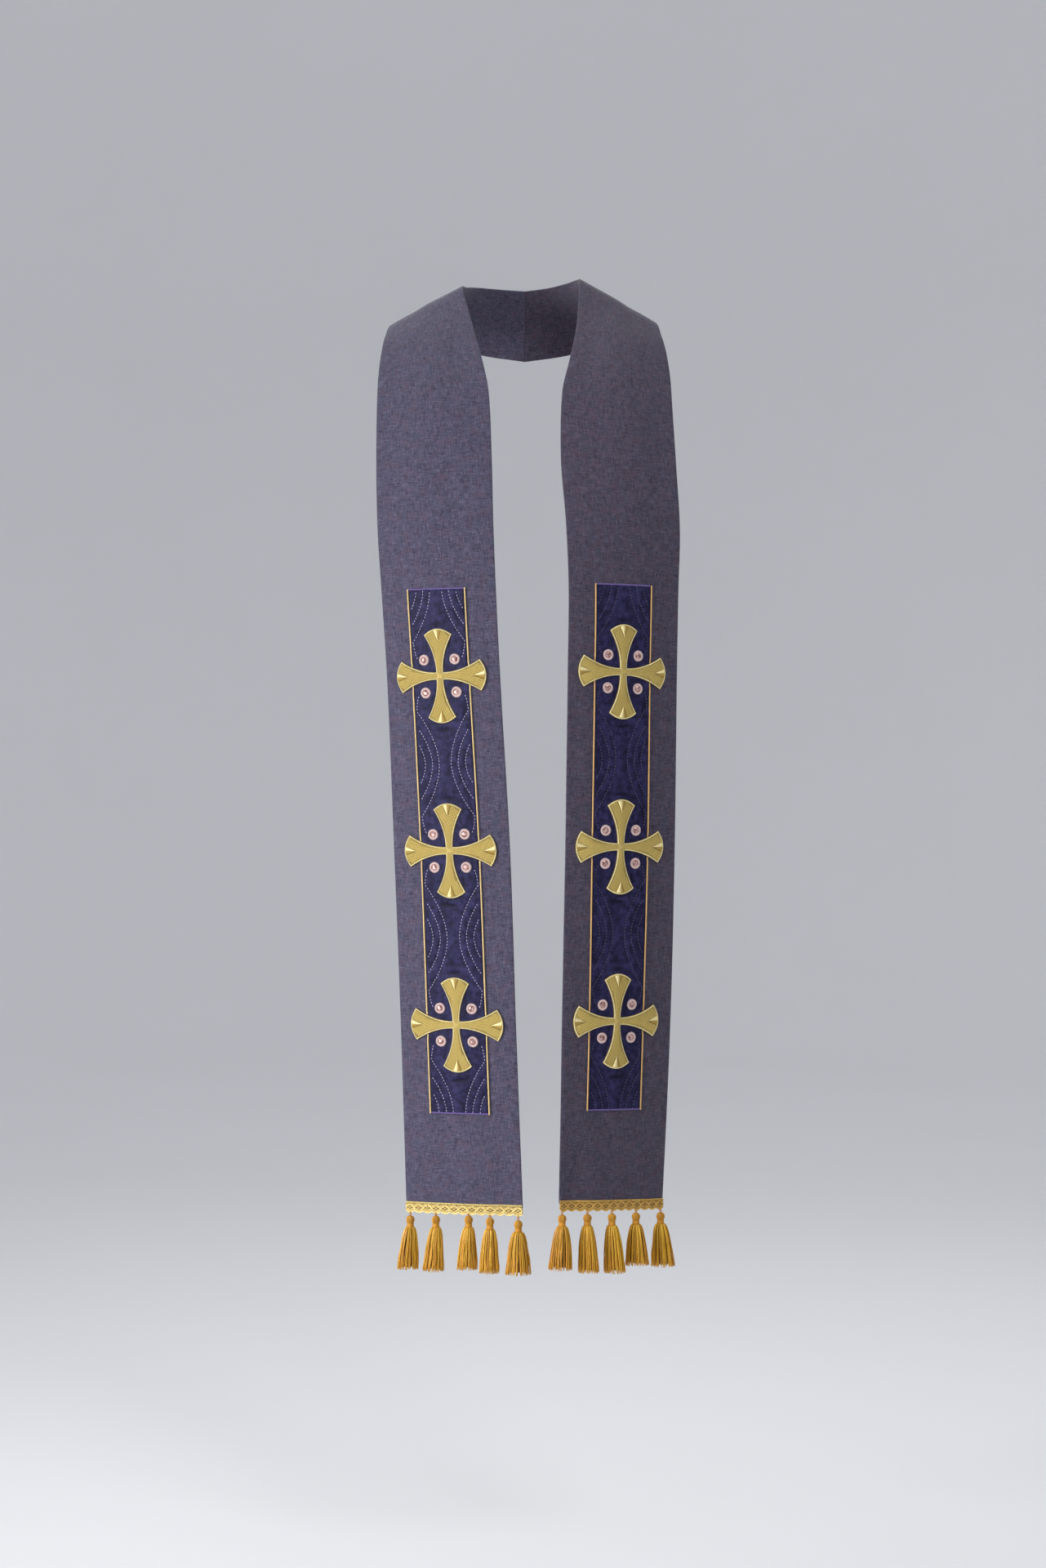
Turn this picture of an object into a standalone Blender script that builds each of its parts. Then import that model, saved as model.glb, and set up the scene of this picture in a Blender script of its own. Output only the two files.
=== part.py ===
"""A clerical stole as worn: two embroidered bands joined at the centre back, with gimp braid and tassels.

Metres, +Z up. The front faces -Y and the wearer's right is at -X. The origin is the middle of the neck
opening, level with the place where the stole crosses the side of the neck.
"""

import math
from collections import namedtuple

import bmesh
import bpy
from mathutils import Matrix, Vector

MM = 0.001
GAP = 0.3 * MM
WELD = 0.01 * MM
SHARP_ANGLE = math.radians(50)

# The cloth: outer fabric, interfacing and lining together
WALL = 2.4 * MM
BAND_COLUMNS = 8
BAND_ROWS = 46
ROW_EASE = 1.5

# Sections across a band, in millimetres: where its two edges lie, and how far its middle stands out
Section = namedtuple("Section", "place inner outer bow")
SECTIONS = {
    "right": (
        Section("centre back", (-0.15, 72, 8), (-0.15, 112, -76), 5),
        Section("nape", (-30, 66, 9), (-52, 108, -69), 5),
        Section("back of neck", (-57, 47, 8), (-101, 90, -59), 5),
        Section("behind the ridge", (-73, 24, 5), (-144, 54, -50), 4),
        Section("shoulder ridge", (-78, 0, 0), (-166, 4, -46), 2),
        Section("below the ridge", (-71, -26, -29), (-173, -24, -64), 3),
        Section("collarbone", (-62, -53, -63), (-177, -44, -88), 5),
        Section("upper chest", (-52, -80, -102), (-180, -61, -121), 7),
        Section("chest", (-44, -102, -144), (-181, -76, -161), 8),
        Section("breast", (-40, -122, -226), (-181, -90, -234), 9),
        Section("ribs", (-38, -138, -306), (-179, -97, -310), 9),
        Section("panel top", (-35, -149, -384), (-174, -101, -385), 8),
        Section("upper cross", (-30, -156, -488), (-167, -105, -491), 7),
        Section("middle cross", (-18, -156, -696), (-158, -115, -698), 6),
        Section("lower cross", (-11, -155, -902), (-150, -118, -902), 5),
        Section("hem", (-3, -156, -1122), (-143, -121, -1122), 4),
    ),
    "left": (
        Section("centre back", (0.15, 72, 8), (0.15, 112, -76), 5),
        Section("nape", (29, 67, 11), (52, 108, -69), 5),
        Section("back of neck", (53, 49, 14), (101, 90, -58), 5),
        Section("behind the ridge", (66, 27, 15), (143, 54, -47), 4),
        Section("shoulder ridge", (68, 3, 8), (162, 4, -43), 2),
        Section("below the ridge", (66, -26, -28), (169, -24, -64), 3),
        Section("collarbone", (62, -53, -63), (174, -44, -88), 5),
        Section("upper chest", (54, -80, -102), (178, -61, -121), 7),
        Section("chest", (45, -102, -144), (180, -76, -161), 8),
        Section("breast", (43, -122, -226), (184, -90, -234), 8),
        Section("ribs", (49, -140, -306), (188, -96, -310), 7),
        Section("panel top", (52, -152, -383), (186, -97, -385), 6),
        Section("upper cross", (51, -160, -483), (184, -101, -486), 5),
        Section("middle cross", (48, -163, -693), (181, -106, -694), 5),
        Section("lower cross", (44, -170, -901), (176, -103, -904), 4),
        Section("hem", (41, -173, -1114), (166, -103, -1121), 4),
    ),
}
MIRROR = {"right": -1, "left": 1}

# Soft folds in the cloth: where the middle of each lies across (0 inner edge, 1 outer) and above the hem, how
# far it reaches each way, and how deep it is (a ridge is negative), in millimetres
Fold = namedtuple("Fold", "across up half_width half_length depth")
FOLDS = {
    "right": (
        Fold(0.84, 930, 20, 110, 2.5),
        Fold(0.20, 1020, 20, 90, 2.5),
        Fold(0.16, 20, 20, 70, 1.6),
    ),
    "left": (
        Fold(0.86, 900, 20, 120, 2.5),
        Fold(0.18, 1010, 20, 90, 2.5),
        Fold(0.14, 10, 18, 60, 3.0),
        Fold(0.88, 60, 18, 90, -1.8),
    ),
}

# The satin panel, measured up from the hem's edge
PANEL_HALF = 35.0 * MM
PANEL_FOOT = 111.0 * MM
PANEL_HEAD = 738.0 * MM
PANEL_COLUMNS = 4
PANEL_ROWS = 14
PANEL_MIDDLE = {"right": 0.50, "left": 0.478}
PANEL_UNDER = 0.4 * MM
PANEL_TOP = 1.2 * MM

# The couched cord beside the panel, pressed flat where a cross arm lies over it
CORD_WIDTH = 2.2 * MM
CORD_EDGE = 0.7 * MM
CORD_CROWN = 1.3 * MM
CORD_PRESSED = 0.1 * MM
CORD_PITCH = 52.0 * MM
PRESSED_HALF = 14.0 * MM
PRESSED_RAMP = 3.5 * MM

# The crosses: half the waist, then each arm's half width at its corners, corner reach and end bulge
CROSS_UPS = (633.5 * MM, 424.5 * MM, 216.5 * MM)
WAIST = 4.1 * MM
Arm = namedtuple("Arm", "half corner bulge")
UPRIGHT = Arm(17.4 * MM, 49.2 * MM, 7.2 * MM)
CROSSBAR = Arm(18.7 * MM, 50.2 * MM, 6.8 * MM)
FLARE = 2.05
ARM_COLUMNS = 4
ARM_ROWS = 5
CROSS_EDGE = 1.1 * MM
CROSS_CROWN = 1.1 * MM
CROSS_UNDER = PANEL_TOP + GAP
ARM_END_UNDER = 0.5 * MM
DROOP_FROM = 38.0 * MM
DROOP_TO = 53.0 * MM

# The roundels round each cross
ROUNDEL_OFFSET = 19.7 * MM
ROUNDEL_RADIUS = 6.7 * MM
ROUNDEL_SHOULDER = 5.5 * MM
ROUNDEL_RIM = 1.1 * MM
JEWEL_HEIGHT = 1.9 * MM
ROUNDEL_SIDES = 10

# The gimp braid, over the edge of the hem
BRAID_OVERLAP = 3.0 * MM
BRAID_VALLEY = 8.1 * MM
BRAID_SCALLOP = 2.2 * MM
BRAID_THICK = 1.6 * MM
SCALLOPS = 13
SCALLOP_SEGMENTS = 3

# The tassels: place across the hem (0 inner edge, 1 outer), then in millimetres how far the head's middle
# and the skirt's end hang below the top of the braid, and how far the skirt reaches to each side of the head
Tassel = namedtuple("Tassel", "across head_drop end_drop reach_minus_x reach_plus_x")
TASSELS = {
    "right": (
        Tassel(0.961, 21.8, 81.1, 15.4, 8.8),
        Tassel(0.736, 20.5, 81.7, 15.4, 8.8),
        Tassel(0.454, 18.8, 78.1, 13.5, 9.8),
        Tassel(0.275, 20.3, 81.9, 12.2, 10),
        Tassel(0.038, 22.8, 82.5, 14.5, 15),
    ),
    "left": (
        Tassel(0.022, 21.5, 82.1, 15.4, 11.4),
        Tassel(0.256, 21.1, 85.9, 10.2, 13.8),
        Tassel(0.484, 21.0, 86.9, 9, 15.6),
        Tassel(0.721, 20.8, 79.1, 12.2, 15.2),
        Tassel(0.974, 21.5, 82.0, 10.8, 17),
    ),
}
LOOP_RADIUS = 0.9 * MM
HEAD_RADIUS = 4.7 * MM
# The head's outline as radius and height, both as shares of HEAD_RADIUS
HEAD_OUTLINE = ((0.20, 1.00), (0.76, 0.66), (1.0, 0.0), (0.78, -0.72), (0.76, -1.0), (0.86, -1.85), (1.02, -2.1))
TASSEL_SIDES = 10
LOCK_INSET = 2.1 * MM
LOCK_FILL = 0.82
LOCK_TIP = 0.72
LOCK_UNEVEN = 1.6 * MM
LOCK_PHASE = 2.4
SKIRT_BEND = 0.24
SKIRT_DEPTH = 0.72
SKIRT_FULL = 1.05
FLARE_EASE = 0.55

Look = namedtuple("Look", "colour roughness metallic")
LOOKS = {
    "heather_cloth": Look((0.115, 0.100, 0.165), 0.85, 0.0),
    "navy_satin": Look((0.030, 0.026, 0.085), 0.40, 0.0),
    "gold_cord": Look((0.62, 0.42, 0.12), 0.35, 0.6),
    "gold_thread": Look((0.60, 0.42, 0.09), 0.35, 0.6),
    "pink_thread": Look((0.72, 0.45, 0.50), 0.45, 0.1),
    "gimp_braid": Look((0.68, 0.52, 0.18), 0.40, 0.5),
    "tassel_yarn": Look((0.62, 0.34, 0.02), 0.55, 0.0),
}


class Band:
    """The smooth front of one side of the stole. Its stations run from 0 at the centre back to length."""

    STEP = 0.5 * MM

    def __init__(self, side):
        self.mirror = MIRROR[side]
        self.rows = [(Vector(row.inner) * MM, Vector(row.outer) * MM, row.bow * MM) for row in SECTIONS[side]]
        self.stations = [0.0]
        for near, far in zip(self.rows, self.rows[1:]):
            reach = (far[0] + far[1] - near[0] - near[1]).length / 2
            self.stations.append(self.stations[-1] + reach)
        self.length = self.stations[-1]
        self.folds = FOLDS[side]
        self.middle = PANEL_MIDDLE[side]
        self.front = []
        self.out = []
        for row in range(BAND_ROWS + 1):
            station = self.length * (row / BAND_ROWS) ** ROW_EASE
            places = [column / BAND_COLUMNS for column in range(BAND_COLUMNS + 1)]
            self.front.append([self.surface(station, across) for across in places])
            self.out.append([self.outward(station, across) for across in places])

    def slope(self, column, index):
        """How fast one column of the rows changes along the band, at a row."""
        low = max(index - 1, 0)
        high = min(index + 1, len(self.rows) - 1)
        rise = self.rows[high][column] - self.rows[low][column]
        return rise / (self.stations[high] - self.stations[low])

    def read(self, column, station):
        """One column of the rows at any station, on a smooth cubic through them."""
        index = 0
        while index < len(self.rows) - 2 and station > self.stations[index + 1]:
            index += 1
        span = self.stations[index + 1] - self.stations[index]
        x = (station - self.stations[index]) / span
        start = self.rows[index][column] * (2 * x**3 - 3 * x**2 + 1)
        end = self.rows[index + 1][column] * (3 * x**2 - 2 * x**3)
        leave = self.slope(column, index) * (span * (x**3 - 2 * x**2 + x))
        arrive = self.slope(column, index + 1) * (span * (x**3 - x**2))
        return start + end + leave + arrive

    def fold_depth(self, station, across, width):
        """How far the soft folds sink the cloth at one place."""
        depth = 0.0
        for fold in self.folds:
            aside = (across - fold.across) * width / (fold.half_width * MM)
            along = (self.length - station - fold.up * MM) / (fold.half_length * MM)
            depth += fold.depth * MM * math.exp(-aside * aside - along * along)
        return depth

    def surface(self, station, across):
        """A point of the cloth's front: across is 0 at the inner edge and 1 at the outer edge."""
        if station < 0.0:
            point = self.surface(-station, across)
            return Vector((-point.x, point.y, point.z))
        if station > self.length:
            edge = self.surface(self.length, across)
            before = self.surface(self.length - self.STEP, across)
            return edge + (edge - before) * ((station - self.length) / self.STEP)
        inner = self.read(0, station)
        outer = self.read(1, station)
        chord = outer - inner
        ahead = self.read(0, station + self.STEP) + self.read(1, station + self.STEP) - inner - outer
        out = ahead.cross(chord).normalized() * self.mirror
        rise = self.read(2, station) * 4 * across * (1 - across)
        rise -= self.fold_depth(station, across, chord.length)
        return inner + chord * across + out * rise

    def outward(self, station, across):
        """The direction in which the cloth's front faces."""
        aside = self.STEP / self.width(station)
        along = self.surface(station + self.STEP, across) - self.surface(station - self.STEP, across)
        over = self.surface(station, across + aside) - self.surface(station, across - aside)
        return along.cross(over).normalized() * self.mirror

    def point(self, station, across, lift):
        """A place on the wall's own faces, moved out by lift (or in, where lift is negative)."""
        rows = BAND_ROWS * (station / self.length) ** (1 / ROW_EASE)
        columns = BAND_COLUMNS * across
        row = min(int(rows), BAND_ROWS - 1)
        column = min(max(int(columns), 0), BAND_COLUMNS - 1)
        down, over = rows - row, columns - column
        shares = ((0, 0, (1 - down) * (1 - over)), (0, 1, (1 - down) * over), (1, 0, down * (1 - over)))
        place = Vector()
        for step, side, share in (*shares, (1, 1, down * over)):
            front = self.front[row + step][column + side]
            place += (front + self.out[row + step][column + side] * lift) * share
        return place

    def width(self, station):
        """The straight distance between the two edges."""
        station = min(max(station, 0.0), self.length)
        return (self.read(1, station) - self.read(0, station)).length

    def place(self, aside, up, lift):
        """A point by its distance from the panel's middle line, its height above the hem, and its lift."""
        station = self.length - up
        return self.point(station, self.middle + aside / self.width(station), lift)


def clear_scene():
    for obj in list(bpy.data.objects):
        bpy.data.objects.remove(obj, do_unlink=True)


def material(name):
    made = bpy.data.materials.get(name)
    if made:
        return made
    look = LOOKS[name]
    made = bpy.data.materials.new(name)
    made.use_nodes = True
    shader = made.node_tree.nodes["Principled BSDF"]
    shader.inputs["Base Color"].default_value = (*look.colour, 1.0)
    shader.inputs["Roughness"].default_value = look.roughness
    shader.inputs["Metallic"].default_value = look.metallic
    return made


def add_object(bm, name, look, parent):
    """Close a bmesh into a named object with its own material."""
    bmesh.ops.recalc_face_normals(bm, faces=bm.faces[:])
    if bm.calc_volume(signed=True) < 0:
        bmesh.ops.reverse_faces(bm, faces=bm.faces[:])
    mesh = bpy.data.meshes.new(name)
    bm.to_mesh(mesh)
    bm.free()
    mesh.shade_smooth()
    mesh.set_sharp_from_angle(angle=SHARP_ANGLE)
    mesh.materials.append(material(look))
    obj = bpy.data.objects.new(name, mesh)
    bpy.context.collection.objects.link(obj)
    obj.parent = parent
    return obj


def grid(bm, columns, rows):
    """A flat grid one unit wide and one high, with a corner at the origin."""
    verts = bmesh.ops.create_grid(bm, x_segments=columns, y_segments=rows, size=0.5)["verts"]
    bmesh.ops.translate(bm, verts=verts, vec=(0.5, 0.5, 0.0))
    return verts


def thicken(bm):
    """Give a flat sheet a second face. Returns the points of the new face."""
    made = bmesh.ops.extrude_face_region(bm, geom=bm.faces[:])["geom"]
    return [item for item in made if isinstance(item, bmesh.types.BMVert)]


def lay_on(bm, band):
    """Take a flat pattern (aside, up, lift) onto the curved cloth."""
    for vert in bm.verts:
        vert.co = band.place(vert.co.x, vert.co.y, vert.co.z)


def make_band(side, band, parent):
    """The wall of one band: a grid with closer rows at the neck, taken onto the surface."""
    bm = bmesh.new()
    grid(bm, BAND_COLUMNS, BAND_ROWS)
    for vert in thicken(bm):
        vert.co.z = -WALL
    for vert in bm.verts:
        vert.co = band.point(band.length * vert.co.y**ROW_EASE, vert.co.x, vert.co.z)
    add_object(bm, f"band_{side}", "heather_cloth", parent)


def make_panel(side, band, parent):
    bm = bmesh.new()
    for vert in grid(bm, PANEL_COLUMNS, PANEL_ROWS):
        aside = (2 * vert.co.x - 1) * PANEL_HALF
        vert.co = (aside, PANEL_FOOT + vert.co.y * (PANEL_HEAD - PANEL_FOOT), PANEL_UNDER)
    for vert in thicken(bm):
        vert.co.z = PANEL_TOP
    lay_on(bm, band)
    add_object(bm, f"panel_{side}", "navy_satin", parent)


def cord_stops():
    """Heights at which the couched cord has a section: its ends, each cross's edges, and even steps between."""
    stops = {PANEL_FOOT, PANEL_HEAD}
    for up in CROSS_UPS:
        for reach in (PRESSED_HALF, PRESSED_HALF + PRESSED_RAMP):
            stops.update((up - reach, up + reach))
    ends = sorted(stops)
    for low, high in zip(ends, ends[1:]):
        parts = round((high - low) / CORD_PITCH)
        stops.update(low + (high - low) * part / parts for part in range(1, parts))
    return sorted(stops)


def cord_crown(up):
    """How far the cord's round top rises above its edges."""
    pressed = any(abs(up - cross) < PRESSED_HALF + PRESSED_RAMP / 2 for cross in CROSS_UPS)
    return CORD_PRESSED if pressed else CORD_CROWN


def make_cord(side, band, edge, sign, parent):
    stops = cord_stops()
    middle = sign * (PANEL_HALF + GAP + CORD_WIDTH / 2)
    bm = bmesh.new()
    crown = bm.verts.layers.float.new("crown")
    for vert in grid(bm, 2, len(stops) - 1):
        reach = 2 * vert.co.x - 1
        up = stops[round(vert.co.y * (len(stops) - 1))]
        vert[crown] = (1 - reach * reach) * cord_crown(up)
        vert.co = (middle + reach * CORD_WIDTH / 2, up, PANEL_UNDER)
    for vert in thicken(bm):
        vert.co.z += CORD_EDGE + vert[crown]
    lay_on(bm, band)
    add_object(bm, f"cord_{side}_{edge}", "gold_cord", parent)


def cross_under(aside):
    """How high the underside of a cross lies: over the panel and cord, then down to the band past them."""
    share = (abs(aside) - DROOP_FROM) / (DROOP_TO - DROOP_FROM)
    share = min(max(share, 0.0), 1.0)
    return CROSS_UNDER + (ARM_END_UNDER - CROSS_UNDER) * share


def make_cross(side, band, index, parent):
    """Four flared arms round a square heart, raised along the middle of each arm."""
    bm = bmesh.new()
    crown = bm.verts.layers.float.new("crown")
    for vert in grid(bm, ARM_COLUMNS, ARM_COLUMNS):
        x, y = 2 * vert.co.x - 1, 2 * vert.co.y - 1
        vert[crown] = 1 - min(abs(x), abs(y)) ** 2
        vert.co = (x * WAIST, y * WAIST, 0.0)
    for quarter in range(4):
        arm = CROSSBAR if quarter % 2 else UPRIGHT
        verts = grid(bm, ARM_COLUMNS, ARM_ROWS)
        for vert in verts:
            reach, out = 2 * vert.co.x - 1, vert.co.y
            vert[crown] = 1 - reach * reach
            half = WAIST + (arm.half - WAIST) * out**FLARE
            end = arm.corner + arm.bulge * (1 - reach * reach)
            vert.co = (reach * half, WAIST + (end - WAIST) * out, 0.0)
        turn = Matrix.Rotation(quarter * math.pi / 2, 3, "Z")
        bmesh.ops.rotate(bm, verts=verts, cent=(0, 0, 0), matrix=turn)
    bmesh.ops.remove_doubles(bm, verts=bm.verts[:], dist=WELD)
    for vert in bm.verts:
        vert.co.z = cross_under(vert.co.x)
    for vert in thicken(bm):
        vert.co.z += CROSS_EDGE + CROSS_CROWN * vert[crown]
    bmesh.ops.translate(bm, verts=bm.verts[:], vec=(0, CROSS_UPS[index], 0))
    lay_on(bm, band)
    add_object(bm, f"cross_{side}_{index + 1}", "gold_thread", parent)


def make_roundel(side, band, index, corner, parent):
    """A low disc with a raised jewel in its middle."""
    aside = ROUNDEL_OFFSET * (1 if corner % 2 else -1)
    up = CROSS_UPS[index] + ROUNDEL_OFFSET * (1 if corner < 2 else -1)
    bm = bmesh.new()
    bmesh.ops.create_cone(
        bm,
        cap_ends=True,
        segments=ROUNDEL_SIDES,
        radius1=ROUNDEL_RADIUS,
        radius2=ROUNDEL_SHOULDER,
        depth=ROUNDEL_RIM,
        matrix=Matrix.Translation((aside, up, CROSS_UNDER + ROUNDEL_RIM / 2)),
    )
    top = max(bm.faces, key=lambda face: face.calc_center_median().z)
    middle = bmesh.ops.poke(bm, faces=[top])["verts"]
    middle[0].co.z = CROSS_UNDER + JEWEL_HEIGHT
    lay_on(bm, band)
    add_object(bm, f"roundel_{side}_{index + 1}{'abcd'[corner]}", "pink_thread", parent)


def braid_depth(share):
    """How far the braid hangs below the hem's edge, at a share of the way across it."""
    return BRAID_VALLEY + BRAID_SCALLOP * abs(math.sin(math.pi * SCALLOPS * share))


def make_braid(side, band, parent):
    bm = bmesh.new()
    for vert in grid(bm, SCALLOPS * SCALLOP_SEGMENTS, 1):
        if vert.co.y > 0.5:
            vert.co.y = BRAID_OVERLAP
        else:
            vert.co.y = -braid_depth(vert.co.x)
        vert.co.z = GAP
    for vert in thicken(bm):
        vert.co.z = GAP + BRAID_THICK
    for vert in bm.verts:
        vert.co = band.point(band.length - vert.co.y, vert.co.x, vert.co.z)
    add_object(bm, f"braid_{side}", "gimp_braid", parent)


def extend(bm, cap, radius, height):
    """Extrude the end face of a turned shape to a new ring."""
    cap = bmesh.ops.extrude_discrete_faces(bm, faces=[cap])["faces"][0]
    for vert in cap.verts:
        ring = vert.co.xy.normalized() * radius
        vert.co = (ring.x, ring.y, height)
    return cap


def lock_faces(bm, cap):
    """Part the underside of the head into a ring of faces and a rosette inside it, one face for each lock."""
    outer = bmesh.ops.inset_region(bm, faces=[cap], thickness=LOCK_INSET, depth=0.0)["faces"]
    middle = bmesh.ops.poke(bm, faces=[cap])["verts"][0]
    spokes = sorted(middle.link_edges, key=lambda edge: spoke_angle(edge, middle))
    bmesh.ops.dissolve_edges(bm, edges=spokes[::2], use_verts=False)
    return outer + list(middle.link_faces)


def spoke_angle(edge, middle):
    rim = edge.other_vert(middle).co
    return math.atan2(rim.y, rim.x)


def drop_lock(bm, face, length, number):
    """Draw one lock down from its root face, narrowing it where it parts from its neighbours."""
    middle = face.calc_center_median()
    top = middle.z
    uneven = LOCK_UNEVEN * math.sin(LOCK_PHASE * number)
    for share, fill in ((SKIRT_BEND, LOCK_FILL), (1.0, LOCK_TIP / LOCK_FILL)):
        face = bmesh.ops.extrude_discrete_faces(bm, faces=[face])["faces"][0]
        for vert in face.verts:
            vert.co.xy = middle.xy + (vert.co.xy - middle.xy) * fill
            vert.co.z = top - (length + uneven) * share


def flare_skirt(bm, top, length, half, lean):
    """Spread a straight skirt from the root out to its full width at the end."""
    root = HEAD_OUTLINE[-1][0] * HEAD_RADIUS
    for vert in bm.verts:
        share = (top - vert.co.z) / length
        if vert.co.z < top - WELD:
            spread = 1 + (half / root - 1) * min(share, 1.0) ** FLARE_EASE
            vert.co.x = vert.co.x * spread + lean * share
            vert.co.y *= 1 + (spread - 1) * SKIRT_DEPTH


def make_tassel(side, band, index, parent):
    row = TASSELS[side][index]
    share = LOOP_RADIUS / band.width(band.length)
    depth = max(braid_depth(row.across + step * share) for step in (-1, 0, 1)) + GAP
    hang = band.point(band.length + depth, row.across, GAP + BRAID_THICK / 2)
    middle = depth + BRAID_OVERLAP - row.head_drop * MM
    end = depth + BRAID_OVERLAP - row.end_drop * MM
    loop = middle + HEAD_RADIUS * HEAD_OUTLINE[0][1]
    bm = bmesh.new()
    bmesh.ops.create_cone(
        bm,
        cap_ends=True,
        segments=TASSEL_SIDES,
        radius1=LOOP_RADIUS,
        radius2=LOOP_RADIUS,
        depth=-loop,
        matrix=Matrix.Translation((0, 0, loop / 2)),
    )
    cap = min(bm.faces, key=lambda face: face.calc_center_median().z)
    for radius, height in HEAD_OUTLINE[1:]:
        cap = extend(bm, cap, HEAD_RADIUS * radius, middle + HEAD_RADIUS * height)
    top = cap.calc_center_median().z
    length = top - end
    for number, face in enumerate(lock_faces(bm, cap)):
        drop_lock(bm, face, length - LOCK_UNEVEN, number + index)
    half = (row.reach_minus_x + row.reach_plus_x) / 2 * MM
    lean = (row.reach_plus_x - row.reach_minus_x) / 2 * MM
    flare_skirt(bm, top, length, half * SKIRT_FULL, lean)
    obj = add_object(bm, f"tassel_{side}_{index + 1}", "tassel_yarn", parent)
    obj.location = hang


def make_side(side, parent):
    band = Band(side)
    make_band(side, band, parent)
    make_panel(side, band, parent)
    make_cord(side, band, "inner", -1, parent)
    make_cord(side, band, "outer", 1, parent)
    for index in range(len(CROSS_UPS)):
        make_cross(side, band, index, parent)
        for corner in range(4):
            make_roundel(side, band, index, corner, parent)
    make_braid(side, band, parent)
    for index in range(len(TASSELS[side])):
        make_tassel(side, band, index, parent)


def main():
    clear_scene()
    stole = bpy.data.objects.new("stole", None)
    bpy.context.collection.objects.link(stole)
    for side in SECTIONS:
        make_side(side, stole)


main()
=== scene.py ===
# %% Load the fixed frame
import math
from collections import namedtuple

import bmesh
import bpy
import numpy as np
from mathutils import Matrix, Vector
from mathutils.kdtree import KDTree


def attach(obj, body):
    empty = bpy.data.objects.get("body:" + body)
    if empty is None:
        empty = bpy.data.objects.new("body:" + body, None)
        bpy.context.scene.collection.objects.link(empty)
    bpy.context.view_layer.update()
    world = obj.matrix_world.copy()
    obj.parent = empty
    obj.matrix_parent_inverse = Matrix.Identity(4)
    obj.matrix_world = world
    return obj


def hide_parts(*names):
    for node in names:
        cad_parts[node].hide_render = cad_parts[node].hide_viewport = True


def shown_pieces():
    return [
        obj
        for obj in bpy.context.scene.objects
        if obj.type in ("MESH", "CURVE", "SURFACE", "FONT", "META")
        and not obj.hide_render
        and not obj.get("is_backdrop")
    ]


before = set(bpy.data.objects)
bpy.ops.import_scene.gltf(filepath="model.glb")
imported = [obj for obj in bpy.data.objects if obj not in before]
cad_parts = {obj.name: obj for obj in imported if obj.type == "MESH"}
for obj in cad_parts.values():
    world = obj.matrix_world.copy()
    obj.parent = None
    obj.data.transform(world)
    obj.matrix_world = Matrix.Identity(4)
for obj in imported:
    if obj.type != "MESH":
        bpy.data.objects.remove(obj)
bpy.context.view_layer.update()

# %% [markdown]
# # A clerical stole, from worn cloth to single stitches
#
# A stole is a long, narrow vestment. Two bands are joined at the centre back, lie over the shoulders
# and hang straight down in front. On this one each band carries a satin panel with running stitches,
# three gold crosses with small pink roundels round them, a gimp braid along the hem and five tassels.
#
# The CAD model has already fixed where everything is. This lesson dresses it: each solid is replaced by
# a finer piece on the same form. All lengths are metres, so the sizes below are millimetres times MM.
# The front faces -Y.

# %% Units and sides
MM = 0.001
SIDES = ("right", "left")
MIRROR = {"right": -1, "left": 1}
print("sides:", SIDES)

# %% [markdown]
# ## The camera
#
# The camera is the photograph's: level, about 3.5 m away, and at the height of the middle of the body.
# A long lens keeps the bands nearly parallel. The sensor's height is fixed, so the picture may be
# upright or wide.

# %% Camera
SENSOR_HEIGHT, FOCAL_LENGTH = 36.0, 64.575
CAMERA_PLACE = (-0.0025, -3.5, -0.618)

lens_data = bpy.data.cameras.new("photo_camera")
lens_data.sensor_fit = "VERTICAL"
lens_data.sensor_height = SENSOR_HEIGHT
lens_data.lens = FOCAL_LENGTH
camera = bpy.data.objects.new("photo_camera", lens_data)
camera.location = CAMERA_PLACE
camera.rotation_euler = (math.radians(90), 0, 0)
bpy.context.collection.objects.link(camera)
bpy.context.scene.camera = camera
print("camera", lens_data.lens, "mm lens")

# %% [markdown]
# ## A small kit for materials
#
# Every finish below is a handful of nodes. One helper places a node, sets its values, and links it
# where a value is another node's socket, so that a material reads from top to bottom like a recipe.


# %% Node helpers
def node(tree, kind, values=None, **settings):
    """Add one node. A value that is a socket is linked, and any other is set on the input."""
    made = tree.nodes.new(kind)
    for name, value in settings.items():
        setattr(made, name, value)
    for name, value in (values or {}).items():
        if isinstance(value, bpy.types.NodeSocket):
            tree.links.new(value, made.inputs[name])
        else:
            made.inputs[name].default_value = value
    return made


def calc(tree, operation, first, second=0.0):
    """One math node's result."""
    return node(tree, "ShaderNodeMath", {0: first, 1: second}, operation=operation).outputs[0]


def plus(tree, first, second):
    return calc(tree, "ADD", first, second)


def minus(tree, first, second):
    return calc(tree, "SUBTRACT", first, second)


def times(tree, first, second):
    return calc(tree, "MULTIPLY", first, second)


def object_coords(tree):
    """A point's place in the piece's own space, in metres."""
    return node(tree, "ShaderNodeTexCoord").outputs["Object"]


def blend(tree, share, first, second):
    """Mix two colours."""
    made = tree.nodes.new("ShaderNodeMix")
    made.data_type = "RGBA"
    for index, value in ((0, share), (6, first), (7, second)):
        if isinstance(value, bpy.types.NodeSocket):
            tree.links.new(value, made.inputs[index])
        else:
            made.inputs[index].default_value = value
    return made.outputs[2]


def spread(tree, value, low, high, start=0.0, end=1.0):
    """Stretch the values between low and high to run from start to end."""
    names = {"Value": value, "From Min": low, "From Max": high, "To Min": start, "To Max": end}
    return node(tree, "ShaderNodeMapRange", names).outputs["Result"]


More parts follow.
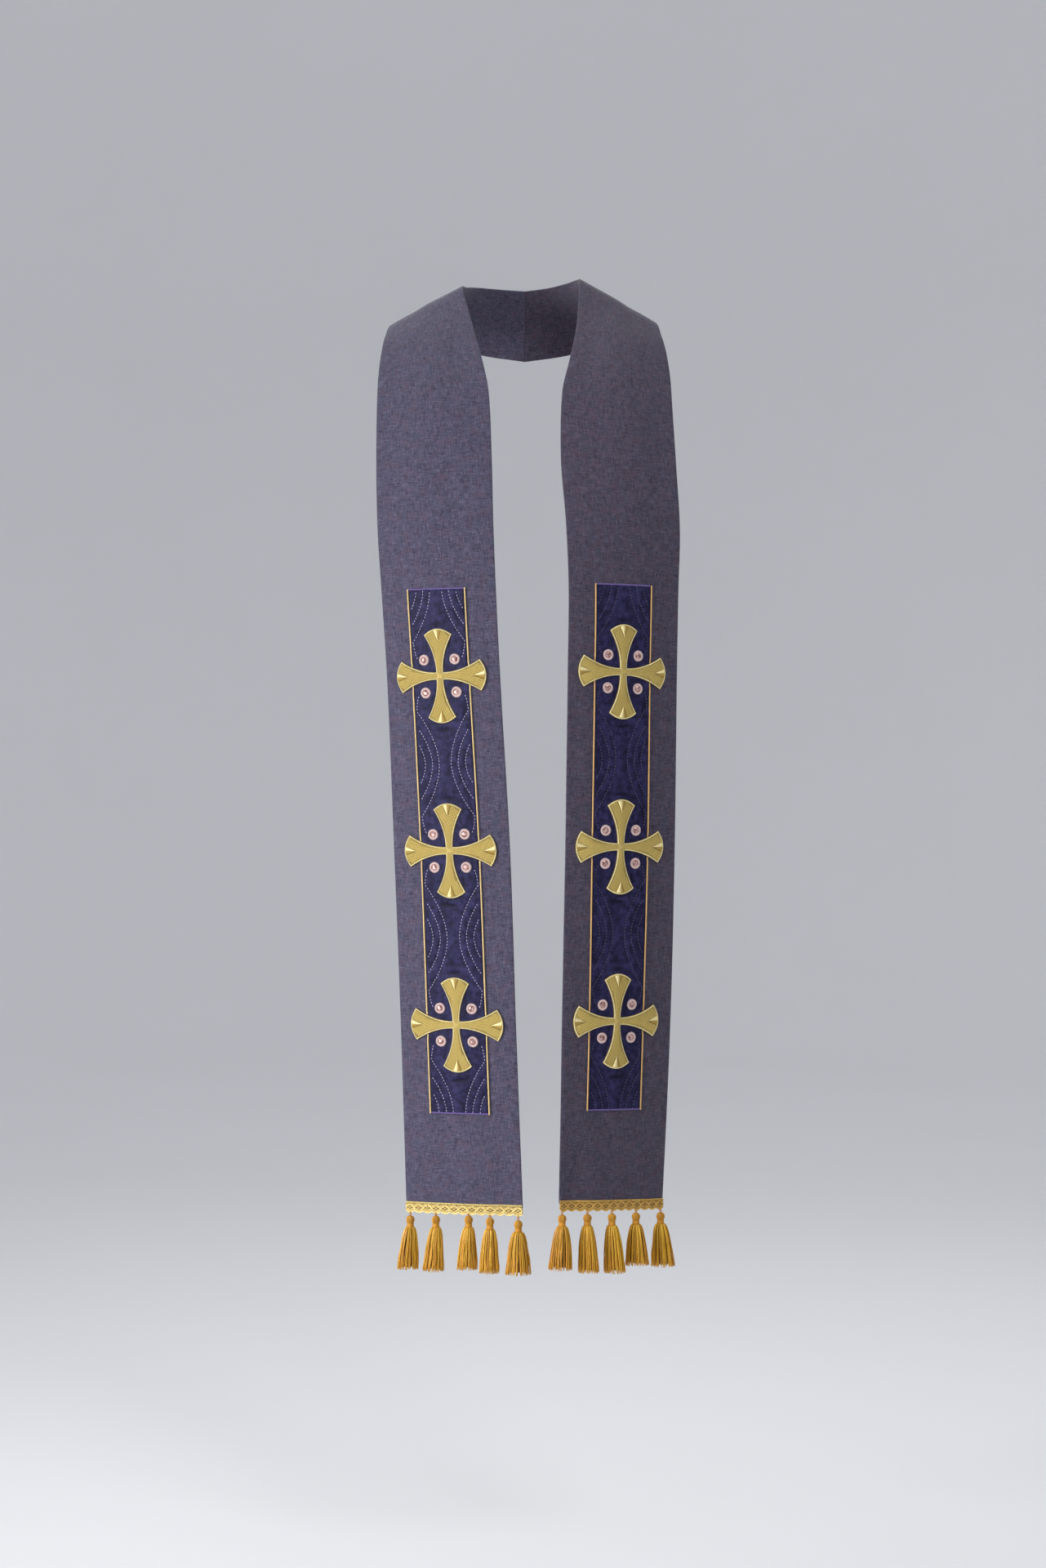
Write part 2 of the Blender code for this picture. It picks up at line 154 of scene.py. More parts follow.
def group(name, inputs, outputs):
    """A node group with named sockets, and its input and output nodes."""
    tree = bpy.data.node_groups.new(name, "ShaderNodeTree")
    for label, kind, value in inputs:
        socket = tree.interface.new_socket(label, in_out="INPUT", socket_type=kind)
        if value is not None:
            socket.default_value = value
    for label, kind in outputs:
        tree.interface.new_socket(label, in_out="OUTPUT", socket_type=kind)
    return tree, tree.nodes.new("NodeGroupInput").outputs, tree.nodes.new("NodeGroupOutput").inputs


def material(name):
    """A new material, its node tree and its shader."""
    made = bpy.data.materials.new(name)
    made.use_nodes = True
    return made, made.node_tree, made.node_tree.nodes["Principled BSDF"]


def finish(tree, shader, colour, height, strength, distance, **looks):
    """Feed a shader its colour and bump, and set its plain values."""
    bump = node(tree, "ShaderNodeBump", {"Strength": strength, "Distance": distance, "Height": height})
    tree.links.new(bump.outputs["Normal"], shader.inputs["Normal"])
    tree.links.new(colour, shader.inputs["Base Color"])
    for label, value in looks.items():
        shader.inputs[label.replace("_", " ")].default_value = value


print("a new material's nodes:", [item.name for item in material("trial")[1].nodes])
bpy.data.materials.remove(bpy.data.materials["trial"])

# %% [markdown]
# ## The studio
#
# The stage is one seamless bowl: a floor that curves up into a wall all round. Spinning a short profile
# makes it. From whichever side the stole is seen, the ground behind it is the same pale grey.

# %% Floor and wall
FLOOR_HEIGHT = -1.55
BOWL_RADIUS = 9.0
BOWL_FILLET = 3.0
WALL_HEIGHT = 7.0
FILLET_STEPS, BOWL_STEPS = 12, 64

bm = bmesh.new()
profile = [bm.verts.new((0, 0, 0)), bm.verts.new((BOWL_RADIUS - BOWL_FILLET, 0, 0))]
for step in range(1, FILLET_STEPS + 1):
    angle = math.pi / 2 * step / FILLET_STEPS
    out = BOWL_RADIUS - BOWL_FILLET + BOWL_FILLET * math.sin(angle)
    profile.append(bm.verts.new((out, 0, BOWL_FILLET * (1 - math.cos(angle)))))
profile.append(bm.verts.new((BOWL_RADIUS, 0, WALL_HEIGHT)))
edges = [bm.edges.new(pair) for pair in zip(profile, profile[1:])]
bmesh.ops.spin(bm, geom=profile + edges, axis=(0, 0, 1), cent=(0, 0, 0), angle=math.tau,
               steps=BOWL_STEPS, use_merge=True)
bmesh.ops.remove_doubles(bm, verts=bm.verts[:], dist=0.001)
bmesh.ops.recalc_face_normals(bm, faces=bm.faces[:])
bmesh.ops.reverse_faces(bm, faces=bm.faces[:])
bmesh.ops.translate(bm, verts=bm.verts[:], vec=(0, 0, FLOOR_HEIGHT))
mesh = bpy.data.meshes.new("studio_floor")
bm.to_mesh(mesh)
bm.free()
mesh.shade_smooth()
studio_floor = bpy.data.objects.new("studio_floor", mesh)
bpy.context.collection.objects.link(studio_floor)
studio_floor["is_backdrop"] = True

paper, tree, shader = material("pale_paper")
values = {"Vector": object_coords(tree), "Scale": 1.4, "Detail": 3.0}
grain = node(tree, "ShaderNodeTexNoise", values).outputs["Fac"]
tone = blend(tree, grain, (0.80, 0.80, 0.81, 1), (0.83, 0.83, 0.84, 1))
finish(tree, shader, tone, grain, 0.02, 0.01, Roughness=0.9)
mesh.materials.append(paper)
print("stage faces:", len(mesh.polygons))

# %% [markdown]
# ## The light
#
# The key light is large and stands well to the left of the camera, so the band on that side is lit full
# on and the other one, which turns away, falls into soft shade. A small low lamp brightens the hem on
# the lit side. A weak fill, close by and above on the right, opens the shade on the upper part of the
# other band, and the world is pale. Each lamp's spread is narrowed, as a grid on a studio lamp does, so
# that little of its light spills on the floor.

# %% Lights and world
Lamp = namedtuple("Lamp", "name place aim size power")
LAMPS = (
    Lamp("key_light", (-3.3, -1.9, 0.0), (0, 0, -0.80), 1.2, 21),
    Lamp("low_light", (-1.9, -1.9, -1.10), (-0.07, -0.14, -1.15), 0.8, 4.5),
    Lamp("fill_light", (0.85, -1.5, 1.15), (0.10, -0.05, -0.22), 0.8, 2.6),
    Lamp("back_light", (1.2, 3.0, 2.2), (0, 0, -0.4), 2.2, 8),
)
LAMP_SPREAD = math.radians(80)
AIR_COLOUR, AIR_STRENGTH = (0.92, 0.95, 1.0, 1), 0.72

for lamp in LAMPS:
    lamp_data = bpy.data.lights.new(lamp.name, "AREA")
    lamp_data.size = lamp.size
    lamp_data.energy = lamp.power
    lamp_data.spread = LAMP_SPREAD
    lamp_object = bpy.data.objects.new(lamp.name, lamp_data)
    lamp_object.location = lamp.place
    aim = Vector(lamp.aim) - Vector(lamp.place)
    lamp_object.rotation_euler = aim.to_track_quat("-Z", "Y").to_euler()
    bpy.context.collection.objects.link(lamp_object)

world = bpy.data.worlds.new("studio_air")
world.use_nodes = True
air = world.node_tree.nodes["Background"].inputs
air["Color"].default_value = AIR_COLOUR
air["Strength"].default_value = AIR_STRENGTH
bpy.context.scene.world = world
bpy.context.scene.view_settings.view_transform = "Standard"
print("lamps:", [lamp.name for lamp in LAMPS])

# %% [markdown]
# ## The band's surface
#
# Each band is one strip of cloth, so it can be written as a surface with two directions: how far along
# the strip (the station, 0 at the centre back) and how far across it. A short table gives the strip's
# two edges and its bow at sixteen places round the neck and down the front, and a smooth cubic joins
# them. The same table shaped the solids, so whatever is made here lies where the CAD says.
#
# %% Sections
Section = namedtuple("Section", "place inner outer bow")
SECTIONS = {
    "right": (
        Section("centre back", (-0.15, 72, 8), (-0.15, 112, -76), 5),
        Section("nape", (-30, 66, 9), (-52, 108, -69), 5),
        Section("back of neck", (-57, 47, 8), (-101, 90, -59), 5),
        Section("behind the ridge", (-73, 24, 5), (-144, 54, -50), 4),
        Section("shoulder ridge", (-78, 0, 0), (-166, 4, -46), 2),
        Section("below the ridge", (-71, -26, -29), (-173, -24, -64), 3),
        Section("collarbone", (-62, -53, -63), (-177, -44, -88), 5),
        Section("upper chest", (-52, -80, -102), (-180, -61, -121), 7),
        Section("chest", (-44, -102, -144), (-181, -76, -161), 8),
        Section("breast", (-40, -122, -226), (-181, -90, -234), 9),
        Section("ribs", (-38, -138, -306), (-179, -97, -310), 9),
        Section("panel top", (-35, -149, -384), (-174, -101, -385), 8),
        Section("upper cross", (-30, -156, -488), (-167, -105, -491), 7),
        Section("middle cross", (-18, -156, -696), (-158, -115, -698), 6),
        Section("lower cross", (-11, -155, -902), (-150, -118, -902), 5),
        Section("hem", (-3, -156, -1122), (-143, -121, -1122), 4),
    ),
    "left": (
        Section("centre back", (0.15, 72, 8), (0.15, 112, -76), 5),
        Section("nape", (29, 67, 11), (52, 108, -69), 5),
        Section("back of neck", (53, 49, 14), (101, 90, -58), 5),
        Section("behind the ridge", (66, 27, 15), (143, 54, -47), 4),
        Section("shoulder ridge", (68, 3, 8), (162, 4, -43), 2),
        Section("below the ridge", (66, -26, -28), (169, -24, -64), 3),
        Section("collarbone", (62, -53, -63), (174, -44, -88), 5),
        Section("upper chest", (54, -80, -102), (178, -61, -121), 7),
        Section("chest", (45, -102, -144), (180, -76, -161), 8),
        Section("breast", (43, -122, -226), (184, -90, -234), 8),
        Section("ribs", (49, -140, -306), (188, -96, -310), 7),
        Section("panel top", (52, -152, -383), (186, -97, -385), 6),
        Section("upper cross", (51, -160, -483), (184, -101, -486), 5),
        Section("middle cross", (48, -163, -693), (181, -106, -694), 5),
        Section("lower cross", (44, -170, -901), (176, -103, -904), 4),
        Section("hem", (41, -173, -1114), (166, -103, -1121), 4),
    ),
}

print("sections:", {side: len(rows) for side, rows in SECTIONS.items()})

# %% [markdown]
# The table of folds sinks soft troughs into the cloth (a negative depth is a ridge). The first ones are
# the solids' own, and the rest are the lesser creases that cloth has everywhere: where it turns at the
# neck, beside the stiff crosses, and along the edges. Each row gives the share of the way across (0 at
# the inner edge, 1 at the outer one), then the height above the hem, the reach each way, the lean and
# the depth in millimetres.

# %% Folds
Fold = namedtuple("Fold", "across up half_width half_length lean depth")
FOLDS = {
    "right": (
        Fold(0.84, 930, 20, 110, 0.0, 2.5),
        Fold(0.20, 1020, 20, 90, 0.0, 2.5),
        Fold(0.16, 20, 20, 70, 0.0, 1.6),
        Fold(0.10, 1190, 9, 26, 0.35, 1.1),
        Fold(0.30, 1215, 11, 34, 0.5, -0.9),
        Fold(0.58, 1160, 12, 46, -0.3, 0.9),
        Fold(0.42, 1085, 13, 60, 0.15, -0.7),
        Fold(0.66, 1020, 12, 52, -0.12, 0.7),
        Fold(0.36, 850, 14, 70, 0.08, 0.8),
        Fold(0.90, 760, 8, 46, -0.05, -0.7),
        Fold(0.07, 640, 7, 30, 0.1, 0.7),
        Fold(0.94, 560, 7, 40, 0.05, 0.6),
        Fold(0.10, 500, 8, 34, -0.1, -0.6),
        Fold(0.92, 300, 8, 50, -0.08, 0.7),
        Fold(0.06, 250, 7, 44, 0.06, -0.6),
        Fold(0.62, 60, 13, 36, 0.2, 0.7),
        Fold(0.86, 30, 10, 34, -0.15, -0.6),
    ),
    "left": (
        Fold(0.86, 900, 20, 120, 0.0, 2.5),
        Fold(0.18, 1010, 20, 90, 0.0, 2.5),
        Fold(0.14, 10, 18, 60, 0.0, 3.0),
        Fold(0.88, 60, 18, 90, 0.0, -1.8),
        Fold(0.12, 1195, 9, 30, 0.4, 1.2),
        Fold(0.34, 1225, 12, 36, 0.45, -0.8),
        Fold(0.60, 1150, 12, 50, -0.35, 1.0),
        Fold(0.44, 1070, 14, 56, 0.1, -0.8),
        Fold(0.70, 980, 13, 64, -0.1, 0.8),
        Fold(0.30, 880, 13, 58, 0.12, 0.9),
        Fold(0.08, 740, 8, 48, 0.05, -0.7),
        Fold(0.93, 640, 7, 34, -0.1, 0.7),
        Fold(0.07, 540, 7, 44, 0.08, 0.7),
        Fold(0.93, 420, 8, 52, 0.04, -0.6),
        Fold(0.08, 330, 8, 40, -0.1, 0.6),
        Fold(0.94, 200, 7, 36, 0.1, 0.7),
        Fold(0.50, 55, 14, 34, -0.2, 0.8),
    ),
}
# The share of the way across at which the panel's middle line lies
PANEL_MIDDLE = {"right": 0.50, "left": 0.478}
print("folds:", {side: len(rows) for side, rows in FOLDS.items()})

# %% [markdown]
# ## From a flat pattern to the worn shape
#
# Sewers cut and stitch flat, and the cloth bends afterwards. The script does the same. Every piece
# starts as a flat pattern: x to the viewer's right from the panel's middle line, y up from the hem, z
# off the cloth. Then `place` carries all of its points onto the bent band at once. NumPy works on whole
# arrays of points, so even thousands of stitches take a moment.


# %% Band class
class Band:
    """The front of one band of cloth, read anywhere along and across it."""

    STEP = 0.5 * MM  # how far on the next point is read, for a direction

    def __init__(self, side):
        self.side = side
        self.mirror = MIRROR[side]
        self.folds = FOLDS[side]
        self.middle = PANEL_MIDDLE[side]
        self.rows = np.array([(*row.inner, *row.outer, row.bow) for row in SECTIONS[side]]) * MM
        middles = (self.rows[:, 0:3] + self.rows[:, 3:6]) / 2
        reach = np.linalg.norm(np.diff(middles, axis=0), axis=1)
        self.stations = np.concatenate([[0.0], np.cumsum(reach)])
        self.length = self.stations[-1]
        last = len(self.rows) - 1
        low = np.maximum(np.arange(last + 1) - 1, 0)
        high = np.minimum(np.arange(last + 1) + 1, last)
        between = (self.stations[high] - self.stations[low])[:, None]
        self.slopes = (self.rows[high] - self.rows[low]) / between

    def read(self, station):
        """The table's columns at any stations, on a smooth cubic through its rows."""
        index = np.clip(np.searchsorted(self.stations, station) - 1, 0, len(self.stations) - 2)
        span = (self.stations[index + 1] - self.stations[index])[:, None]
        x = (station - self.stations[index])[:, None] / span
        start, end = self.rows[index], self.rows[index + 1]
        leave, arrive = self.slopes[index] * span, self.slopes[index + 1] * span
        even = start * (2 * x**3 - 3 * x**2 + 1) + end * (3 * x**2 - 2 * x**3)
        return even + leave * (x**3 - 2 * x**2 + x) + arrive * (x**3 - x**2)

    def fold_depth(self, station, across, width):
        """How far all the folds together sink the cloth."""
        depth = np.zeros_like(station)
        up = (self.length - station) / MM
        for fold in self.folds:
            along = up - fold.up
            aside = (across - fold.across) * width / MM - fold.lean * along
            shape = np.exp(-((aside / fold.half_width) ** 2) - (along / fold.half_length) ** 2)
            depth += fold.depth * shape
        return depth * MM

    def front(self, station, across):
        """Points of the front, for stations from 0 to length."""
        here, next_on = self.read(station), self.read(station + self.STEP)
        inner, outer, bow = here[:, 0:3], here[:, 3:6], here[:, 6]
        chord = outer - inner
        ahead = next_on[:, 0:3] + next_on[:, 3:6] - inner - outer
        out = np.cross(ahead, chord) * self.mirror
        out /= np.linalg.norm(out, axis=1, keepdims=True)
        rise = bow * 4 * across * (1 - across)
        rise -= self.fold_depth(station, across, np.linalg.norm(chord, axis=1))
        return inner + chord * across[:, None] + out * rise[:, None]

    def surface(self, station, across):
        """Points of the front, mirrored past the centre back and straight on past the hem."""
        point = self.front(np.clip(np.abs(station), 0, self.length), across)
        past = np.maximum(station - self.length, 0)[:, None]
        if past.any():
            edge = np.full_like(station, self.length)
            point += (self.front(edge, across) - self.front(edge - self.STEP, across)) / self.STEP * past
        point[station < 0, 0] *= -1
        return point

    def width(self, station):
        """The strip's width, straight across."""
        here = self.read(np.clip(station, 0, self.length))
        return np.linalg.norm(here[:, 3:6] - here[:, 0:3], axis=1)

    def point(self, station, across, lift):
        """Points on the front, moved out by lift."""
        aside = self.STEP / self.width(station)
        along = self.surface(station + self.STEP, across) - self.surface(station - self.STEP, across)
        over = self.surface(station, across + aside) - self.surface(station, across - aside)
        out = np.cross(along, over) * self.mirror
        out /= np.linalg.norm(out, axis=1, keepdims=True)
        return self.surface(station, across) + out * lift[:, None]

    def place(self, flat):
        """Carry points of a flat pattern (x, y up from the hem, z off the cloth) onto the band."""
        station = self.length - flat[:, 1]
        across = self.middle + flat[:, 0] * self.mirror / self.width(station)
        return self.point(station, across, flat[:, 2])

    def place_across(self, flat):
        """The same, but x is the share of the width from the viewer's left edge to the right one."""
        across = flat[:, 0] if self.mirror > 0 else 1 - flat[:, 0]
        return self.point(self.length - flat[:, 1], across, flat[:, 2])


BANDS = {side: Band(side) for side in SIDES}
print("band lengths:", {side: round(band.length, 3) for side, band in BANDS.items()})

# %% [markdown]
# ## Finishing a piece
#
# Each finished piece keeps its flat pattern as a UV map in metres. That is the grain of the cloth: a
# weave drawn in those coordinates follows the strip round the neck, and stays the real size.
# `finish_piece` does the bookkeeping that every piece needs: its material, the body that it rides on,
# and the solids it stands for.


# %% Piece helpers
def read_points(mesh):
    """A mesh's vertices as an array."""
    points = np.empty(len(mesh.vertices) * 3)
    mesh.vertices.foreach_get("co", points)
    return points.reshape(-1, 3)


def write_points(mesh, points):
    """Move a mesh's vertices to the points of an array."""
    mesh.vertices.foreach_set("co", np.ascontiguousarray(points, dtype=np.float32).ravel())
    mesh.update()


def keep_cut(mesh, flat):
    """Store the flat pattern as the UV map named cut."""
    corners = np.empty(len(mesh.loops), dtype=np.int32)
    mesh.loops.foreach_get("vertex_index", corners)
    layer = mesh.uv_layers.new(name="cut")
    layer.data.foreach_set("uv", np.ascontiguousarray(flat[corners, :2], dtype=np.float32).ravel())


def mesh_from(bm, name):
    """Turn a bmesh into a mesh."""
    mesh = bpy.data.meshes.new(name)
    bm.to_mesh(mesh)
    bm.free()
    return mesh


def verts_in(geometry):
    """The vertices among what an operator made."""
    return [item for item in geometry if isinstance(item, bmesh.types.BMVert)]


def flat_grid(bm, columns, rows):
    """A flat grid one unit wide and one high, with a corner at the origin."""
    verts = bmesh.ops.create_grid(bm, x_segments=columns, y_segments=rows, size=0.5)["verts"]
    bmesh.ops.translate(bm, verts=verts, vec=(0.5, 0.5, 0.0))
    return verts


def finish_piece(name, mesh, material, nodes):
    """Give a mesh its material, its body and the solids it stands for."""
    mesh.materials.append(material)
    mesh.shade_smooth()
    piece = bpy.data.objects.new(name, mesh)
    bpy.context.collection.objects.link(piece)
    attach(piece, "root")
    if nodes:
        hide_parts(*nodes)
    triangles = sum(len(face.vertices) - 2 for face in mesh.polygons)
    print(f"{name}: {triangles} triangles")
    return piece


trial = bmesh.new()
print("a flat grid of 2 by 3 cells has", len(flat_grid(trial, 2, 3)), "corners")
trial.free()

# %% [markdown]
# ## The heathered cloth
#
# The bands are a matt plain weave. Its yarns were dyed in slightly different shades before weaving, so
# each one changes from blue-grey to purple to a reddish brown along its length. That is what heathered
# means.
#
# The material draws it as it is made. The pattern is cut into rows of weft and columns of warp, every
# yarn reads a long stretched noise of its own for its shade, and a checker decides which of the two
# lies on top. A second noise lets the yarns drift a little, because no loom lays them dead straight. A
# slow noise groups the shades into faint patches. The same rows give the height for the bump.

# %% Cloth material
YARN = 0.95  # mm from one yarn to the next


def cut_millimetres(tree, name):
    """A piece's own flat pattern in millimetres."""
    read = node(tree, "ShaderNodeUVMap", uv_map=name).outputs["UV"]
    scaled = node(tree, "ShaderNodeVectorMath", {0: read, "Scale": 1 / MM}, operation="SCALE").outputs[0]
    parts = node(tree, "ShaderNodeSeparateXYZ", {0: scaled}).outputs
    return parts[0], parts[1]


def place_noise(tree, x, y, scale, detail=1.0, rough=0.5):
    """Noise read at two separate coordinates."""
    where = node(tree, "ShaderNodeCombineXYZ", {0: x, 1: y}).outputs[0]
    values = {"Vector": where, "Scale": scale, "Detail": detail, "Roughness": rough}
    return node(tree, "ShaderNodeTexNoise", values, noise_dimensions="2D").outputs["Fac"]


weave, made_in, made_out = group(
    "Plain weave",
    [("Yarn", "NodeSocketFloat", 0.8), ("Slub", "NodeSocketFloat", 0.1),
     ("Drift", "NodeSocketFloat", 1.0)],
    [("Shade", "NodeSocketFloat"), ("Patch", "NodeSocketFloat"), ("Height", "NodeSocketFloat")],
)
x, y = cut_millimetres(weave, "cut")


def drifted(along, where):
    """A coordinate counted in yarns, which drift a little from side to side."""
    drift = times(weave, minus(weave, place_noise(weave, where, y, 0.23), 0.5), made_in["Drift"])
    return plus(weave, calc(weave, "DIVIDE", along, made_in["Yarn"]), drift)


def either(share, first, second):
    """The first value where share is 0 and the second where it is 1."""
    return plus(weave, times(weave, first, minus(weave, 1.0, share)), times(weave, second, share))


def rounded(count):
    """The rise and fall across one yarn."""
    return calc(weave, "SINE", times(weave, calc(weave, "FRACT", count), math.pi))


# The second noise is read 61 mm aside, so that the two drifts differ
column, row = drifted(x, x), drifted(y, plus(weave, x, 61.0))
whole_column, whole_row = calc(weave, "FLOOR", column), calc(weave, "FLOOR", row)
# The odd factors set neighbouring yarns far apart in the noise
slub_x, slub_y = times(weave, x, made_in["Slub"]), times(weave, y, made_in["Slub"])
weft = place_noise(weave, slub_x, times(weave, whole_row, 7.31), 1.0, 2.0)
warp = place_noise(weave, times(weave, whole_column, 5.17), slub_y, 1.0, 2.0)
check = calc(weave, "FRACT", times(weave, plus(weave, whole_column, whole_row), 0.5))
on_top = calc(weave, "GREATER_THAN", check, 0.25)
shade = either(spread(weave, on_top, 0.0, 1.0, 0.2, 0.8), weft, warp)
fuzz = times(weave, minus(weave, place_noise(weave, x, y, 2.3, 2.0), 0.5), 0.30)
weave.links.new(plus(weave, shade, fuzz), made_out["Shade"])
weave.links.new(place_noise(weave, x, y, 0.09, 3.0, 0.6), made_out["Patch"])
round_row, round_column = rounded(row), rounded(column)
over_row = times(weave, round_row, spread(weave, round_column, 0.0, 1.0, 0.55, 1.0))
over_column = times(weave, round_column, spread(weave, round_row, 0.0, 1.0, 0.55, 1.0))
weave.links.new(either(on_top, over_row, over_column), made_out["Height"])
print("weave group:", [item.name for item in weave.interface.items_tree])

# %% [markdown]
# The two bands are cut from the same cloth. One hangs in the light and the other in shade, so the copy for
# the shaded band, on the wearer's left, is given deeper and browner colours, which is painted shade. The
# five shades are given for each side: the dark, which is the deepest yarn colour and also the painted
# shade between the yarns, the middle and light of the yarns, and the warm and cool of the patches.


# %% Two shades of the cloth
def heather_material(name, dark, middle, light, warm, cool):
    """A heathered plain weave in five shades."""
    made, tree, shader = material(name)
    yarns = node(tree, "ShaderNodeGroup", node_tree=weave)
    for label, value in (("Yarn", YARN), ("Slub", 0.11), ("Drift", 0.7)):
        yarns.inputs[label].default_value = value
    shade = yarns.outputs["Shade"]
    colour = blend(tree, spread(tree, shade, 0.31, 0.49), dark, middle)
    colour = blend(tree, spread(tree, shade, 0.51, 0.70), colour, light)
    patch = yarns.outputs["Patch"]
    colour = blend(tree, spread(tree, patch, 0.52, 0.68, 0.0, 0.55), colour, warm)
    colour = blend(tree, spread(tree, patch, 0.46, 0.32, 0.0, 0.55), colour, cool)
    # Painted shade: the colour deepens towards the dark where the yarns dip, between them
    colour = blend(tree, spread(tree, yarns.outputs["Height"], 0.0, 0.55, 0.55, 0.0), colour, dark)
    finish(tree, shader, colour, yarns.outputs["Height"], 0.5, 0.14 * MM,
           Roughness=0.88, Sheen_Weight=0.25, Sheen_Roughness=0.5, Specular_IOR_Level=0.25)
    return made


heather_cloth = {
    "right": heather_material(
        "heather_cloth_right", dark=(0.026, 0.022, 0.042, 1), middle=(0.068, 0.059, 0.101, 1),
        light=(0.135, 0.121, 0.187, 1), warm=(0.093, 0.062, 0.095, 1), cool=(0.055, 0.061, 0.104, 1)),
    # Painted shade: the shaded band's copy of the same cloth is given deeper, browner colours
    "left": heather_material(
        "heather_cloth_left_painted_shade", dark=(0.020, 0.016, 0.029, 1), middle=(0.058, 0.047, 0.076, 1),
        light=(0.116, 0.097, 0.145, 1), warm=(0.081, 0.047, 0.072, 1), cool=(0.044, 0.047, 0.080, 1)),
}
print("cloth materials:", [made.name for made in heather_cloth.values()])

# %% [markdown]
# ## Piece 1: the two bands
#
# The band is a sandwich of outer cloth, interfacing and lining, about 2.4 mm thick and pressed flat at
# its edges. A grid is the cloth, an extrude gives it its second face, and a narrow bevel turns the
# edges over as pressing does. Only then is it carried onto the worn shape. Cells of about 4 mm are fine
# enough for the softest fold. The upper ends of the two bands are drawn together at the centre back,
# where the turned edges leave a seam's groove.

# %% Bands
WALL = 2.4 * MM
BAND_CUT = 144 * MM
BAND_COLUMNS, BAND_ROWS = 36, 324
EDGE_TURN = 0.9 * MM
SEAM = 0.1 * MM


for side, band in BANDS.items():
    bm = bmesh.new()
    verts = flat_grid(bm, BAND_COLUMNS, BAND_ROWS)
    bmesh.ops.scale(bm, verts=verts, vec=(BAND_CUT, band.length, 1.0))
    back = verts_in(bmesh.ops.extrude_face_region(bm, geom=bm.faces[:])["geom"])
    bmesh.ops.translate(bm, verts=back, vec=(0, 0, -WALL))
    bmesh.ops.recalc_face_normals(bm, faces=bm.faces[:])
    corners = [edge for edge in bm.edges if edge.calc_face_angle(0) > 1.0]
    rim = [edge for edge in corners if edge.verts[0].co.z == edge.verts[1].co.z]
    bmesh.ops.bevel(bm, geom=rim, affect="EDGES", offset=EDGE_TURN, offset_type="OFFSET", segments=2,
                    profile=0.5, material=-1)
    mesh = mesh_from(bm, f"cloth_{side}")
    flat = read_points(mesh)
    keep_cut(mesh, flat)
    worn = band.place_across(flat / (BAND_CUT, 1, 1))
    worn[flat[:, 1] > band.length - SEAM, 0] = 0.0
    write_points(mesh, worn)
    finish_piece(mesh.name, mesh, heather_cloth[side], [f"band_{side}"])

# %% [markdown]
# ## A kit for threads
#
# The rest of the stole is thread: stitches, cords, gold work, fringe. A thread is a path with a round
# or flat- bottomed section swept along it. There are thousands, so they are not made one by one.
# `Threads` takes many paths as one array, works out all their sections together, and joins them in one
# mesh. Each thread keeps its length and the way round it as a UV map (named thread), and a random
# number (named tint) for its shade.

# %% Threads
# Sections as angles round the thread. A laid one has a flat foot, which the cloth hides
ROUND = np.radians([30, 90, 150, 210, 270, 330])
SQUARE = np.radians([45, 135, 225, 315])
LAID = np.radians([-28, 30, 90, 150, 208])


class Threads:
    """Many threads gathered as arrays, to be joined in one mesh."""

    def __init__(self, seed):
        self.points, self.faces, self.corners, self.tints = [], [], [], []
        self.total = 0
        self.random = np.random.default_rng(seed)

    def add(self, paths, radius, section=LAID, up=(0, 0, 1), flat=1.0, tip=0.6, tints=None):
        """Add threads of equal numbers of points: paths is an array of threads, points and x y z."""
        paths = np.asarray(paths, dtype=float)
        count, steps = paths.shape[:2]
        sides = len(section)
        along = np.gradient(paths, axis=1)
        along /= np.linalg.norm(along, axis=2, keepdims=True)
        side = np.cross(along, np.asarray(up, dtype=float))
        side /= np.linalg.norm(side, axis=2, keepdims=True)
        over = np.cross(side, along) * flat
        thick = np.broadcast_to(np.asarray(radius, dtype=float), (count, steps)).copy()
        thick[:, [0, -1]] *= tip
        ring = np.cos(section)[:, None] * side[:, :, None] + np.sin(section)[:, None] * over[:, :, None]
        self.points.append((paths[:, :, None] + ring * thick[:, :, None, None]).reshape(-1, 3))
        index = self.total + np.arange(count * steps * sides).reshape(count, steps, sides)
        near, far = index[:, :-1], index[:, 1:]
        quads = np.stack([near, far, np.roll(far, -1, 2), np.roll(near, -1, 2)], axis=-1)
        self.faces += quads.reshape(-1, 4).tolist() + index[:, 0].tolist() + index[:, -1, ::-1].tolist()
        gone = np.linalg.norm(np.diff(paths, axis=1), axis=2).cumsum(axis=1)
        gone = np.concatenate([np.zeros((count, 1)), gone], axis=1)[:, :, None]
        way = np.arange(sides) / sides
        shape = (count, steps - 1, sides)
        near_u, far_u = np.broadcast_to(gone[:, :-1], shape), np.broadcast_to(gone[:, 1:], shape)
        low, high = np.broadcast_to(way, shape), np.broadcast_to(way + 1 / sides, shape)
        u = np.stack([near_u, far_u, far_u, near_u], axis=-1)
        v = np.stack([low, low, high, high], axis=-1)
        self.corners.append(np.stack([u, v], axis=-1).reshape(-1, 2))
        for end in (gone[:, 0], gone[:, -1]):
            cap = [np.broadcast_to(part, (count, sides)) for part in (end, way)]
            self.corners.append(np.stack(cap, axis=-1).reshape(-1, 2))
        tints = self.random.random(count) if tints is None else np.asarray(tints, dtype=float)
        self.tints.append(np.repeat(tints, steps * sides))
        self.total += count * steps * sides

    def mesh(self, name, place):
        """One mesh of all the threads, carried to where they lie."""
        mesh = bpy.data.meshes.new(name)
        mesh.from_pydata(place(np.concatenate(self.points)), [], self.faces)
        layer = mesh.uv_layers.new(name="thread")
        layer.data.foreach_set("uv", np.concatenate(self.corners).astype(np.float32).ravel())
        tint = mesh.attributes.new("tint", "FLOAT", "POINT")
        tint.data.foreach_set("value", np.concatenate(self.tints).astype(np.float32))
        return mesh


